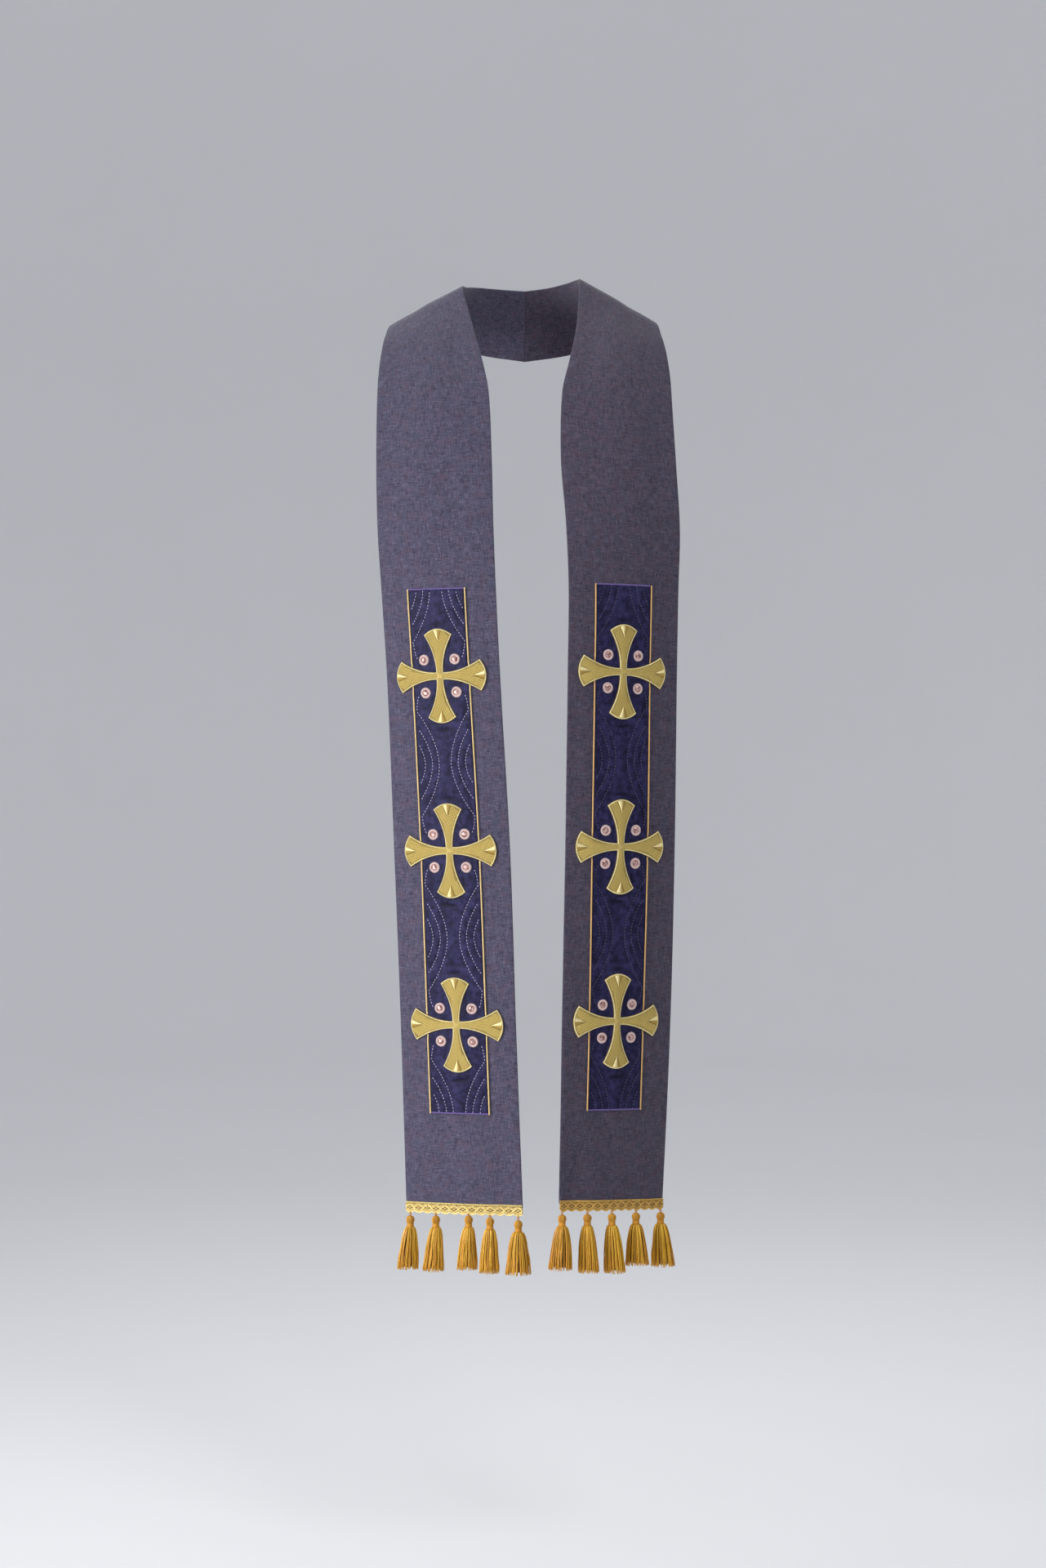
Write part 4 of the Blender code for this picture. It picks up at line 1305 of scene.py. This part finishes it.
def edge_stitches(arm):
    """Short threads that wrap over the outline, each a little slanted."""
    line = arm_outline(arm)
    line = resample(line, int(path_length(line) / EDGE_PITCH))
    along = np.gradient(line, axis=0)
    along /= np.linalg.norm(along, axis=1, keepdims=True)
    outward = np.stack([-along[:, 1], along[:, 0]], axis=1)
    across = EDGE_ACROSS[:, None]
    flat = line[:, None] + outward[:, None] * across + along[:, None] * (across * EDGE_SLANT)
    reach = arm_shares(arm, flat[..., 0], flat[..., 1])[0]
    height = np.maximum(pad_height(reach) + EDGE_LIFTS, EDGE_LEAST)
    return np.concatenate([flat, height[..., None]], axis=-1)


def wedge_facet(arm, sign):
    """Threads of one facet, from the wedge's ridge out to its side."""
    share = np.linspace(0.05, 0.97, WEDGE_THREADS)[:, None]
    across = np.array([-0.04, 0.30, 0.66, 1.0])[None]
    point = arm.corner + arm.bulge - WEDGE_END - WEDGE_LENGTH
    x = sign * WEDGE_HALF * share * across
    y = point + WEDGE_LENGTH * share + across * (0.9 - 1.6 * share) * MM
    reach = arm_shares(arm, x, y)[0]
    z = pad_height(reach) + 0.30 * MM + WEDGE_RISE * np.sqrt(share) * (1 - np.abs(across))
    return np.stack([x, y, z], axis=-1)


def heart_thread(slant, offset):
    """One long thread of the small cross at the heart."""
    steps = np.linspace(-HEART_REACH, HEART_REACH, 9)
    x, y = steps + offset * slant * -0.5, steps * slant + offset * 0.5
    return np.column_stack([x, y, np.full_like(steps, HEART_HEIGHT)]) * MM


edging = Threads(seed=42)
for quarter, arm in enumerate(ARMS):
    stitches = turned(edge_stitches(arm), quarter)
    tints = edging.random.uniform(0.6, 1.4, len(stitches))
    edging.add(stitches, EDGE_RADIUS, section=SQUARE, tints=tints)
    for sign in (-1, 1):
        facet = turned(wedge_facet(arm, sign), quarter)
        # Painted shade on the facet away from the light, a painted highlight on the other
        tone = PAINTED_SHADE_FACET if sign == PAINTED_SHADE_SIDES[quarter] else PAINTED_LIT_FACET
        tints = tone + edging.random.uniform(-0.15, 0.15, len(facet))
        edging.add(facet, WEDGE_RADIUS, section=SQUARE, tip=0.9, tints=tints)
for slant in (-1, 1):
    for offset in (-0.8, 0.0, 0.8):
        edging.add(heart_thread(slant, offset)[None], HEART_RADIUS, tints=[HEART_TINT])
print("cross threads:", sum(len(p) for p in edging.points) + sum(len(p) for p in ridges.points), "points")

# %% [markdown]
# The gold comes in three tones: the pad's deep ground that shows between the ridges and round the rim,
# whose dark brown is painted shade, a rich gold for the ridges with darker ticks where the couching
# stitches hold them down, and a pale, bright gold for the edge and the wedges.

# %% Gold materials
# Painted shade: the pad is coloured a deep brown for the shade between the ridges and round the outline
pad_ground_painted_shade, tree, shader = material("pad_ground_painted_shade")
values = {"Vector": object_coords(tree), "Scale": 900.0, "Detail": 2.0}
grain = node(tree, "ShaderNodeTexNoise", values).outputs["Fac"]
colour = blend(tree, grain, (0.075, 0.040, 0.008, 1), (0.240, 0.145, 0.034, 1))
finish(tree, shader, colour, grain, 0.5, 0.2 * MM, Roughness=0.5, Metallic=0.4)

gold_edge = thread_material("gold_edge", (1.00, 0.88, 0.46), (0.42, 0.26, 0.040), 0.5, 0.45, 0.2, 0.4,
                            Roughness=0.30, Metallic=0.50)

COUCHING_PITCH, COUCHING_SHARE = 2.4, 0.17
gold_ridge, tree, shader = material("gold_ridge")
wound_colour, wound_height = wound_fibres(tree, (0.86, 0.68, 0.225), (0.42, 0.27, 0.045), 0.45, 0.35, 0.25)
along = cut_millimetres(tree, "thread")[0]
stitch = plus(tree, calc(tree, "DIVIDE", along, COUCHING_PITCH), own_value(tree, "tint"))
brick = calc(tree, "FRACT", stitch)
tick = calc(tree, "LESS_THAN", brick, COUCHING_SHARE)
colour = blend(tree, times(tree, tick, 0.85), wound_colour, (0.120, 0.066, 0.010, 1))
height = minus(tree, wound_height, times(tree, tick, 2.0))
finish(tree, shader, colour, height, 0.5, 0.12 * MM, Roughness=0.33, Metallic=0.50)
print("golds:", [made.name for made in (pad_ground_painted_shade, gold_edge, gold_ridge)])

# %% [markdown]
# Now the one pattern of pad, ridges and edge is carried to its six places. Each copy bends with its own
# stretch of cloth, so no two crosses are quite the same.

# %% Six crosses
for side, band in BANDS.items():
    for index, up in enumerate(CROSS_UPS, start=1):
        place = lay_cross(band, up)
        pad = pad_pattern.copy()
        pad.name = f"cross_pad_{side}_{index}"
        write_points(pad, place(pad_flat))
        finish_piece(pad.name, pad, pad_ground_painted_shade, [f"cross_{side}_{index}"])
        finish_threads(f"cross_fill_{side}_{index}", ridges, place, gold_ridge, [])
        finish_threads(f"cross_edge_{side}_{index}", edging, place, gold_edge, [])
bpy.data.meshes.remove(pad_pattern)

# %% [markdown]
# ## Piece 7: the roundels
#
# Four small roundels stand round each cross. Each is a ring of pale pink satin stitch, worked from a small
# mirror-bright jewel outwards, and no two rings lie quite alike. The jewel is a short cone whose top is
# inset twice and drawn up, so that its facets catch the light one by one. It is shaded flat. Its colour is
# its own rose, broken into random bright and dark flecks that are painted glints.

# %% Jewels
JEWEL_RADIUS, JEWEL_SIDES, JEWEL_BASE = 4.1 * MM, 9, 0.5 * MM
JEWEL_STEPS = ((0.7, 0.35), (1.1, 0.30))  # inset and rise of each facet step, in mm
pink_thread = thread_material("pink_thread", (0.82, 0.62, 0.58), (0.50, 0.31, 0.30), 0.5, 0.55, 0.2, 0.3,
                              Roughness=0.38, Sheen_Weight=0.3)

rose_jewel, tree, shader = material("rose_jewel")
values = {"Vector": object_coords(tree), "Scale": 620.0}
# Painted glints: random bright and dark flecks over the jewel's rose colour
painted_glint = node(tree, "ShaderNodeTexVoronoi", values).outputs["Color"]
glint_share = node(tree, "ShaderNodeSeparateColor", {"Color": painted_glint}).outputs[0]
colour = blend(tree, spread(tree, glint_share, 0.15, 0.75), (0.200, 0.075, 0.064, 1), (0.700, 0.460, 0.420, 1))
finish(tree, shader, colour, glint_share, 0.6, 0.3 * MM, Roughness=0.15, Metallic=0.45)


def top_face(bm):
    return max(bm.faces, key=lambda face: face.calc_center_median().z)


def jewel_pattern():
    """One faceted jewel, standing on its middle."""
    bm = bmesh.new()
    bmesh.ops.create_cone(bm, cap_ends=True, segments=JEWEL_SIDES, radius1=JEWEL_RADIUS,
                          radius2=JEWEL_RADIUS * 0.86, depth=JEWEL_BASE)
    bmesh.ops.translate(bm, verts=bm.verts[:], vec=(0, 0, JEWEL_BASE / 2))
    for inset, rise in JEWEL_STEPS:
        top = top_face(bm)
        bmesh.ops.inset_region(bm, faces=[top], thickness=inset * MM, depth=0)
        bmesh.ops.translate(bm, verts=top.verts[:], vec=(0, 0, rise * MM))
    middle = bmesh.ops.poke(bm, faces=[top_face(bm)])["verts"][0]
    middle.co.z += 0.12 * MM
    bmesh.ops.triangulate(bm, faces=bm.faces[:])
    return bm


trial = jewel_pattern()
print("facets of a jewel:", len(trial.faces))
trial.free()

# %% [markdown]
# The four places are the corners of a square round the middle of the cross. Each ring starts at an
# angle of its own, its threads differ a little in length, and each jewel is turned by chance.

# %% Roundels
ROUNDEL_OFFSET = 19.7 * MM
RING_THREADS = 46
RING_ACROSS = np.array([3.7, 4.4, 5.7, 6.5])
RING_HEIGHTS = np.array([0.35, 1.0, 1.0, 0.15])
RING_TURNS = np.array([0.0, 0.03, 0.07, 0.09])
RING_RADII = np.array([0.26, 0.36, 0.42, 0.40]) * MM
CORNERS = ((-1, 1), (1, 1), (-1, -1), (1, -1))


def ring_threads(centre, random):
    """The threads of one ring, from the jewel outwards."""
    angle = math.tau * np.arange(RING_THREADS) / RING_THREADS + random.uniform(0, 1)
    reach = RING_ACROSS[None] * random.uniform(0.975, 1.02, RING_THREADS)[:, None] * MM
    turn = angle[:, None] + RING_TURNS
    height = np.broadcast_to(CROSS_UNDER + RING_HEIGHTS * MM, reach.shape)
    return np.stack([centre[0] + reach * np.cos(turn), centre[1] + reach * np.sin(turn), height], axis=-1)


for number, (side, band) in enumerate(BANDS.items()):
    for index, up in enumerate(CROSS_UPS, start=1):
        rings = Threads(seed=50 + 3 * number + index)
        jewels = bmesh.new()
        for out, rise in CORNERS:
            centre = (out * MIRROR[side] * ROUNDEL_OFFSET, up + ROUNDEL_OFFSET * rise)
            rings.add(ring_threads(centre, rings.random), RING_RADII, section=SQUARE, tip=0.85)
            pattern = jewel_pattern()
            bmesh.ops.rotate(pattern, verts=pattern.verts[:], cent=(0, 0, 0),
                             matrix=Matrix.Rotation(rings.random.uniform(0, 1), 3, "Z"))
            bmesh.ops.translate(pattern, verts=pattern.verts[:], vec=(*centre, CROSS_UNDER + 0.15 * MM))
            loose = mesh_from(pattern, "jewel_pattern")
            jewels.from_mesh(loose)
            bpy.data.meshes.remove(loose)
        nodes = [f"roundel_{side}_{index}{letter}" for letter in "abcd"]
        finish_threads(f"roundel_rings_{side}_{index}", rings, band.place, pink_thread,
                       nodes)
        mesh = mesh_from(jewels, f"roundel_jewels_{side}_{index}")
        write_points(mesh, band.place(read_points(mesh)))
        finish_piece(mesh.name, mesh, rose_jewel, [])
        mesh.shade_flat()

# %% [markdown]
# ## Piece 8: the gimp braid
#
# Gimp is a narrow openwork braid. This one has a header of small upright stitches over the hem, wavy
# strands that cross below it and leave small holes between them, and a row of rounded lobes along its
# lower edge. Each strand is a sine wave, and where two strands cross, one rises while the other sinks.
# A thin woven tape behind them carries the strands. Its dark colour is painted shade, so that the holes
# look deep.

# %% Gimp materials
gimp_thread = {
    "right": thread_material("gimp_thread_right", (1.00, 0.90, 0.45), (0.74, 0.50, 0.12),
                             0.7, 0.65, 0.5, 0.7, Roughness=0.34, Metallic=0.45),
    # Painted shade: a deeper gold for the braid of the shaded band
    "left": thread_material("gimp_thread_left_painted_shade", (0.98, 0.70, 0.22), (0.50, 0.25, 0.040),
                            0.7, 0.75, 0.5, 0.7, Roughness=0.34, Metallic=0.50),
}
# Painted shade: the tape's dark colour stands for the shade in the braid's holes
gimp_tape_painted_shade, tree, shader = material("gimp_tape_painted_shade")
warp = calc(tree, "SINE", times(tree, cut_millimetres(tree, "cut")[0], math.tau / 0.8))
colour = blend(tree, spread(tree, warp, -1.0, 1.0), (0.085, 0.044, 0.009, 1), (0.330, 0.190, 0.040, 1))
finish(tree, shader, colour, warp, 0.4, 0.15 * MM, Roughness=0.7)
print("gimp materials:", [made.name for made in (*gimp_thread.values(), gimp_tape_painted_shade)])

# %% [markdown]
# The tape is a flat grid. Its lower edge follows the scallops, and an extrude gives it its thickness.
# Its own pattern is in metres across the hem, so what carries it divides by the hem's width first.

# %% Tape behind the braid
SCALLOPS = 13
BRAID_OVERLAP, BRAID_VALLEY, BRAID_SCALLOP = 3.0 * MM, 8.1 * MM, 2.2 * MM
BRAID_THICK = 1.6 * MM
TAPE_COLUMNS, TAPE_ROWS = 260, 4
TAPE_THICK, TAPE_INSET, TAPE_LIFT = 0.45 * MM, 0.5 * MM, 0.3 * MM
HEM_WIDTH = {side: float(band.width(np.array([band.length]))[0]) for side, band in BANDS.items()}


def braid_depth(share):
    """How far the braid hangs below the hem's edge, at a share of the way across it."""
    return BRAID_VALLEY + BRAID_SCALLOP * np.abs(np.sin(math.pi * SCALLOPS * share))


def lay_braid(side):
    """What carries the braid's own pattern onto a hem."""
    def place(flat):
        return BANDS[side].place_across(flat / (HEM_WIDTH[side], 1, 1))
    return place


def make_tape(side):
    """The woven tape behind one braid."""
    bm = bmesh.new()
    flat_grid(bm, TAPE_COLUMNS, TAPE_ROWS)
    front = verts_in(bmesh.ops.extrude_face_region(bm, geom=bm.faces[:])["geom"])
    bmesh.ops.translate(bm, verts=front, vec=(0, 0, TAPE_THICK))
    bmesh.ops.recalc_face_normals(bm, faces=bm.faces[:])
    mesh = mesh_from(bm, f"gimp_tape_painted_shade_{side}")
    flat = read_points(mesh)
    foot = -(braid_depth(flat[:, 0]) - TAPE_INSET)
    flat[:, 1] = foot + (BRAID_OVERLAP - TAPE_INSET - foot) * flat[:, 1]
    flat[:, 0] *= HEM_WIDTH[side]
    flat[:, 2] += TAPE_LIFT
    keep_cut(mesh, flat)
    write_points(mesh, lay_braid(side)(flat))
    finish_piece(mesh.name, mesh, gimp_tape_painted_shade, [f"braid_{side}"])


print("hem widths:", {side: round(width, 4) for side, width in HEM_WIDTH.items()})

# %% [markdown]
# The braid's threads are laid over the tape: the header's stitches first, then the crossing strands,
# the two threads of the lobes, and a straight one above and below the openwork.

# %% Braid
HEADER_PITCH, HEADER_RADIUS = 1.28 * MM, 0.42 * MM
HEADER_ACROSS = np.array([-0.2, -0.1, 0.1, 0.2]) * MM
HEADER_UPS = np.array([2.9, 2.5, 0.7, 0.3]) * MM
HEADER_LIFTS = np.array([0.35, 1.25, 1.35, 0.7]) * MM
Strand = namedtuple("Strand", "phase swing threads")
STRANDS = (
    Strand(0.0, 3.5, (-1.05, -0.1, 0.85)), Strand(1.0, 3.5, (-0.85, 0.1, 1.05)),
    Strand(0.5, 2.3, (0.0,)), Strand(1.5, 2.3, (0.0,)),
)
STRAND_MIDDLE, STRAND_RADIUS = -3.9, 0.42
WAVE_POINTS = 231

for number, side in enumerate(SIDES):
    make_tape(side)
    threads = Threads(seed=61 + number)
    width = HEM_WIDTH[side]
    x = np.arange(0.6 * MM, width - 0.5 * MM, HEADER_PITCH)
    header = np.zeros((len(x), 4, 3))
    header[:, :, 0] = x[:, None] + HEADER_ACROSS
    header[:, :, 1] = HEADER_UPS + threads.random.uniform(-0.2, 0.2, len(x))[:, None] * MM
    header[:, :, 2] = HEADER_LIFTS
    threads.add(header, HEADER_RADIUS, tints=threads.random.uniform(0, 1, len(x)))
    along = np.linspace(0, width, WAVE_POINTS)
    turn = math.pi * SCALLOPS * along / width
    for strand in STRANDS:
        for offset in strand.threads:
            wave = (STRAND_MIDDLE + strand.swing * np.sin(turn + strand.phase * math.pi) + offset) * MM
            lift = 1.15 * MM + 0.38 * MM * np.cos(2 * turn + strand.phase * math.pi / 2)
            threads.add(np.stack([along, wave, lift], axis=1)[None], STRAND_RADIUS * MM, section=SQUARE)
    for inset, tint in ((0.42, 0.9), (1.30, 0.6)):
        lobe = -(braid_depth(along / width) - inset * MM)
        lift = 1.05 * MM + 0.2 * MM * np.cos(2 * turn)
        threads.add(np.stack([along, lobe, lift], axis=1)[None], 0.48 * MM, section=ROUND, tints=[tint])
    for height, lift in ((-0.55, 1.0), (2.75, 0.9)):
        level = [np.full_like(along, value * MM) for value in (height, lift)]
        threads.add(np.stack([along, *level], axis=1)[None], 0.38 * MM)
    finish_threads(f"gimp_{side}", threads, lay_braid(side), gimp_thread[side], [])

# %% [markdown]
# ## Piece 9: the tassels
#
# Ten tassels hang from the braid by small twisted loops. A tassel is a bundle of silky yarn: a round head,
# a neck bound with a few turns, and a skirt of more than a hundred threads that spreads quickly and then
# hangs almost straight. The head is spun from a profile and covered with threads. In the skirt the threads
# gather in locks, because that is what gives a tassel its light and dark streaks. The inside of a real
# skirt is packed with yarn, so a spun heart fills it here, and no light shows through. The heart is
# coloured dark brown as painted shade, for the yarn inside lies in shade.
#
# No two tassels hang alike. Each row of the table gives the share of the hem's width at which one
# hangs, and in millimetres how far below the braid's upper edge its head and its end are, and how far
# it reaches each way.

# %% Tassel sizes
Tassel = namedtuple("Tassel", "across head_drop end_drop reach_minus_x reach_plus_x")
TASSELS = {
    "right": (
        Tassel(0.961, 21.8, 81.1, 15.4, 8.8),
        Tassel(0.736, 20.5, 81.7, 15.4, 8.8),
        Tassel(0.454, 18.8, 78.1, 13.5, 9.8),
        Tassel(0.275, 20.3, 81.9, 12.2, 10),
        Tassel(0.038, 22.8, 82.5, 14.5, 15),
    ),
    "left": (
        Tassel(0.022, 21.5, 82.1, 15.4, 11.4),
        Tassel(0.256, 21.1, 85.9, 10.2, 13.8),
        Tassel(0.484, 21.0, 86.9, 9, 15.6),
        Tassel(0.721, 20.8, 79.1, 12.2, 15.2),
        Tassel(0.974, 21.5, 82.0, 10.8, 17),
    ),
}
HEAD_RADIUS = 4.7 * MM
# Radius and height round the head and neck, in head radii from the head's middle
HEAD_OUTLINE = (
    (0.20, 1.00), (0.50, 0.88), (0.76, 0.66), (0.94, 0.34), (1.0, 0.0), (0.95, -0.36), (0.78, -0.72),
    (0.74, -1.0), (0.78, -1.4), (0.86, -1.85), (1.0, -2.1),
)
HEAD_ROWS = 8  # the first rows are the head, and the others are the neck
SKIRT_ROOT = HEAD_OUTLINE[-1][0] * HEAD_RADIUS * 0.86
FRONT = (0, -1, 0)
SKIRT_POINTS = 13
SKIRT_DEPTH = 0.72
FLARE_EASE = 0.42
# How many locks stand in each layer of the skirt, and how full the layer is
LAYERS = ((18, 1.0), (15, 0.84))
LOCK_THREADS = 5


def skirt_size(row):
    """Half the width of the skirt's end, and how far it leans to one side."""
    return (row.reach_minus_x + row.reach_plus_x) / 2 * MM, (row.reach_plus_x - row.reach_minus_x) / 2 * MM


print("threads in a skirt:", sum(locks for locks, fullness in LAYERS) * LOCK_THREADS)

# %% [markdown]
# The yarn is bright yellow where it turns out of the neck and deepens to amber towards the ends. That
# follows the thread's own length, so the material reads it from the thread map.

# %% Tassel material
tassel_silk, tree, shader = material("tassel_silk")
wound_colour, wound_height = wound_fibres(tree, (1.00, 0.65, 0.045), (0.36, 0.095, 0.004), 1.3, 0.95, 0.14)
deepen = spread(tree, cut_millimetres(tree, "thread")[0], 4.0, 46.0, 0.0, 0.35)
colour = blend(tree, deepen, wound_colour, (0.66, 0.27, 0.009, 1))
finish(tree, shader, colour, wound_height, 0.3, 0.1 * MM, Roughness=0.36, Sheen_Weight=0.08,
       Specular_IOR_Level=0.42)
print("nodes in the yarn:", len(tree.nodes))

# %% [markdown]
# All the threads of the skirt share one curve: quick to spread at the neck, then nearly straight. A
# lock is a few of them that start close together and share an angle, a sway and a tone. Each thread
# then strays a little.


# %% Threads of the skirt
def skirt_paths(random, top, length, half, lean):
    """The skirt's threads, lock by lock. Returns their paths and tints."""
    share = np.linspace(0, 1, SKIRT_POINTS) ** 1.5
    flare = share**FLARE_EASE
    paths, tints = [], []
    for locks, fullness in LAYERS:
        inner, outer = SKIRT_ROOT * fullness, half * fullness
        wide = inner + (outer - inner) * flare
        deep = inner + (wide - inner) * SKIRT_DEPTH
        for lock in range(locks):
            angle = math.tau * (lock + random.uniform(-0.25, 0.25)) / locks
            sway = random.uniform(-0.6, 0.6) * MM
            tone = random.uniform(0, 1)
            for strand in range(LOCK_THREADS):
                own = angle + random.uniform(-0.10, 0.10)
                gather = random.uniform(-1, 1, 2) * MM * 0.95
                x = np.cos(own) * wide + gather[0] * flare + sway * np.sin(math.pi * share) + lean * share
                y = np.sin(own) * deep + gather[1] * flare
                curl = random.uniform(-0.6, 0.6, 2) * MM
                waves = math.tau * (share * random.uniform(0.7, 2.0) + random.uniform(0, 1))
                x += curl[0] * np.sin(waves) * share**0.6
                y += curl[1] * np.cos(waves) * share**0.6
                z = top - (length + random.uniform(-2.6, 0.4) * MM) * share
                paths.append(np.stack([x, y, z], axis=1))
                tints.append(np.clip(tone * 0.8 + random.uniform(0, 0.2), 0, 1))
    return np.array(paths), tints


# %% [markdown]
# The head is covered with upright threads, the neck is wound with a few turns of yarn, and the loop is
# two strands that open into an eye and close again.


# %% Threads of the head, neck and loop
COVER_THREADS = 30
NECK_TURNS, NECK_POINTS = 6.5, 14
LOOP_TOP, LOOP_POINTS = 1.6 * MM, 22


def head_cover(middle, turn):
    """Upright threads round the head."""
    ball = np.array(HEAD_OUTLINE[:HEAD_ROWS]) * HEAD_RADIUS
    radius, height = ball[:, 0] + 0.10 * MM, ball[:, 1] + middle
    angle = (math.tau * np.arange(COVER_THREADS) / COVER_THREADS + turn)[:, None]
    height = np.broadcast_to(height, (COVER_THREADS, HEAD_ROWS))
    return np.stack([np.cos(angle) * radius, np.sin(angle) * radius, height], axis=-1)


def neck_winding(middle):
    """The yarn wound round the neck."""
    wind = np.linspace(0, NECK_TURNS * math.tau, int(NECK_TURNS * NECK_POINTS))
    radius = 3.75 * MM + 0.35 * MM * (wind / wind[-1])
    height = middle - HEAD_RADIUS * (0.86 + 1.0 * wind / wind[-1])
    return np.stack([np.cos(wind) * radius, np.sin(wind) * radius, height], axis=1)


def loop_strand(start, foot):
    """One strand of the hanging loop, from the braid down to the head."""
    share = np.linspace(0, 1, LOOP_POINTS)
    twist = start + share * math.pi * 1.5 + 0.4
    eye = 0.55 + 0.75 * np.sin(math.pi * share) ** 2
    height = LOOP_TOP + (foot + 0.2 * MM - LOOP_TOP) * share
    return np.stack([np.cos(twist) * eye * MM, np.sin(twist) * 0.6 * MM, height], axis=1)


def tassel_threads(row, loop, end, seed):
    """All the threads of one tassel, round its own hanging point. Heights are negative."""
    threads = Threads(seed)
    random = threads.random
    middle = loop - HEAD_RADIUS
    top = middle + HEAD_OUTLINE[-2][1] * HEAD_RADIUS
    paths, tints = skirt_paths(random, top, top - end, *skirt_size(row))
    threads.add(paths, 0.44 * MM, section=SQUARE, up=FRONT, tip=0.8, tints=tints)
    cover = head_cover(middle, random.uniform(0, 1))
    threads.add(cover, 0.50 * MM, section=SQUARE, up=FRONT, tints=random.uniform(0, 0.45, COVER_THREADS))
    threads.add(neck_winding(middle)[None], 0.45 * MM, section=ROUND, tints=[0.15])
    for start in (0, math.pi):
        threads.add(loop_strand(start, loop)[None], 0.58 * MM, section=ROUND, up=FRONT, tints=[0.1])
    return threads


# %% [markdown]
# Two spun forms lie inside the threads: the core of the head and neck, and the heart of the skirt, which
# is ribbed like the locks round it and given a dark colour that is painted shade.

# %% Core and heart
HEART_SHARE, HEART_FULLNESS, HEART_STEPS = 0.93, 0.72, 38
HEART_RIB, HEART_RIBS = 0.09, 19


def spun(outline, steps=20):
    """A closed turned form from pairs of radius and height."""
    bm = bmesh.new()
    verts = [bm.verts.new((radius, 0, height)) for radius, height in outline]
    edges = [bm.edges.new(pair) for pair in zip(verts, verts[1:])]
    bmesh.ops.spin(bm, geom=verts + edges, axis=(0, 0, 1), cent=(0, 0, 0), angle=math.tau,
                   steps=steps, use_merge=True)
    bmesh.ops.remove_doubles(bm, verts=bm.verts[:], dist=WELD)
    bmesh.ops.holes_fill(bm, edges=[edge for edge in bm.edges if edge.is_boundary], sides=0)
    bmesh.ops.recalc_face_normals(bm, faces=bm.faces[:])
    return bm


def head_core(middle):
    """The turned form inside the head and neck."""
    outline = np.array(HEAD_OUTLINE) * HEAD_RADIUS
    return spun(outline * (0.97, 1) + (0, middle))


def skirt_heart(row, top, end):
    """The filling of a skirt, ribbed like the locks round it. Its material gives it painted shade."""
    half, lean = skirt_size(row)
    share = np.linspace(0, 1, 9)
    radius = (SKIRT_ROOT + (half - SKIRT_ROOT) * share**FLARE_EASE) * HEART_FULLNESS
    radius[-1] *= 0.8
    bm = spun(np.stack([radius, top + (end - top) * share * HEART_SHARE], axis=1), steps=HEART_STEPS)
    for vert in bm.verts:
        share = max(0.0, (vert.co.z - top) / (end - top))
        angle = math.atan2(vert.co.y, vert.co.x)
        rib = 1 + HEART_RIB * math.cos(HEART_RIBS * angle) * min(1, share * 4)
        flat = 1 - (1 - SKIRT_DEPTH) * share**0.5
        vert.co = (vert.co.x * rib + lean * share, vert.co.y * rib * flat, vert.co.z)
    return bm


# Painted shade: the heart's dark brown stands for the shade inside the skirt
tassel_heart_painted_shade, tree, shader = material("tassel_heart_painted_shade")
values = {"Vector": object_coords(tree), "Scale": (1600.0, 1600.0, 60.0)}
drawn = node(tree, "ShaderNodeMapping", values).outputs["Vector"]
streak = node(tree, "ShaderNodeTexNoise", {"Vector": drawn, "Scale": 1.0, "Detail": 2.0}).outputs["Fac"]
colour = blend(tree, spread(tree, streak, 0.35, 0.65), (0.110, 0.036, 0.004, 1), (0.420, 0.175, 0.012, 1))
finish(tree, shader, colour, streak, 0.5, 0.4 * MM, Roughness=0.6)
print("materials so far:", len(bpy.data.materials))

# %% [markdown]
# Each tassel hangs from the lowest place of the braid near its loop, straight down and not along the
# cloth, so its parts are only moved there.

# %% Ten tassels
for number, (side, band) in enumerate(BANDS.items()):
    for index, row in enumerate(TASSELS[side], start=1):
        near = row.across + np.array([-0.9, 0.0, 0.9]) * MM / HEM_WIDTH[side]
        depth = float(braid_depth(near).max()) + 0.3 * MM
        middle_lift = TAPE_LIFT + BRAID_THICK / 2
        at = [np.array([value]) for value in (band.length + depth, row.across, middle_lift)]
        hang = band.point(*at)[0]
        middle = depth + BRAID_OVERLAP - row.head_drop * MM
        end = depth + BRAID_OVERLAP - row.end_drop * MM
        top = middle + HEAD_OUTLINE[-2][1] * HEAD_RADIUS
        threads = tassel_threads(row, middle + HEAD_RADIUS, end, 70 + 5 * number + index)
        finish_threads(f"tassel_yarn_{side}_{index}", threads, lambda points: points + hang, tassel_silk,
                       [f"tassel_{side}_{index}"])
        for name, form, silk in (("heart", skirt_heart(row, top, end), tassel_heart_painted_shade),
                                 ("core", head_core(middle), tassel_silk)):
            mesh = mesh_from(form, f"tassel_{name}_{side}_{index}")
            write_points(mesh, read_points(mesh) + hang)
            finish_piece(mesh.name, mesh, silk, [])

# %% [markdown]
# ## Counting the triangles
#
# Real cloth hardly stretches. The bands hang from the neck, and the panels lie on the bands. Here the
# triangles of all the shown pieces are added up.

total = sum(len(face.vertices) - 2 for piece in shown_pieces() for face in piece.data.polygons)
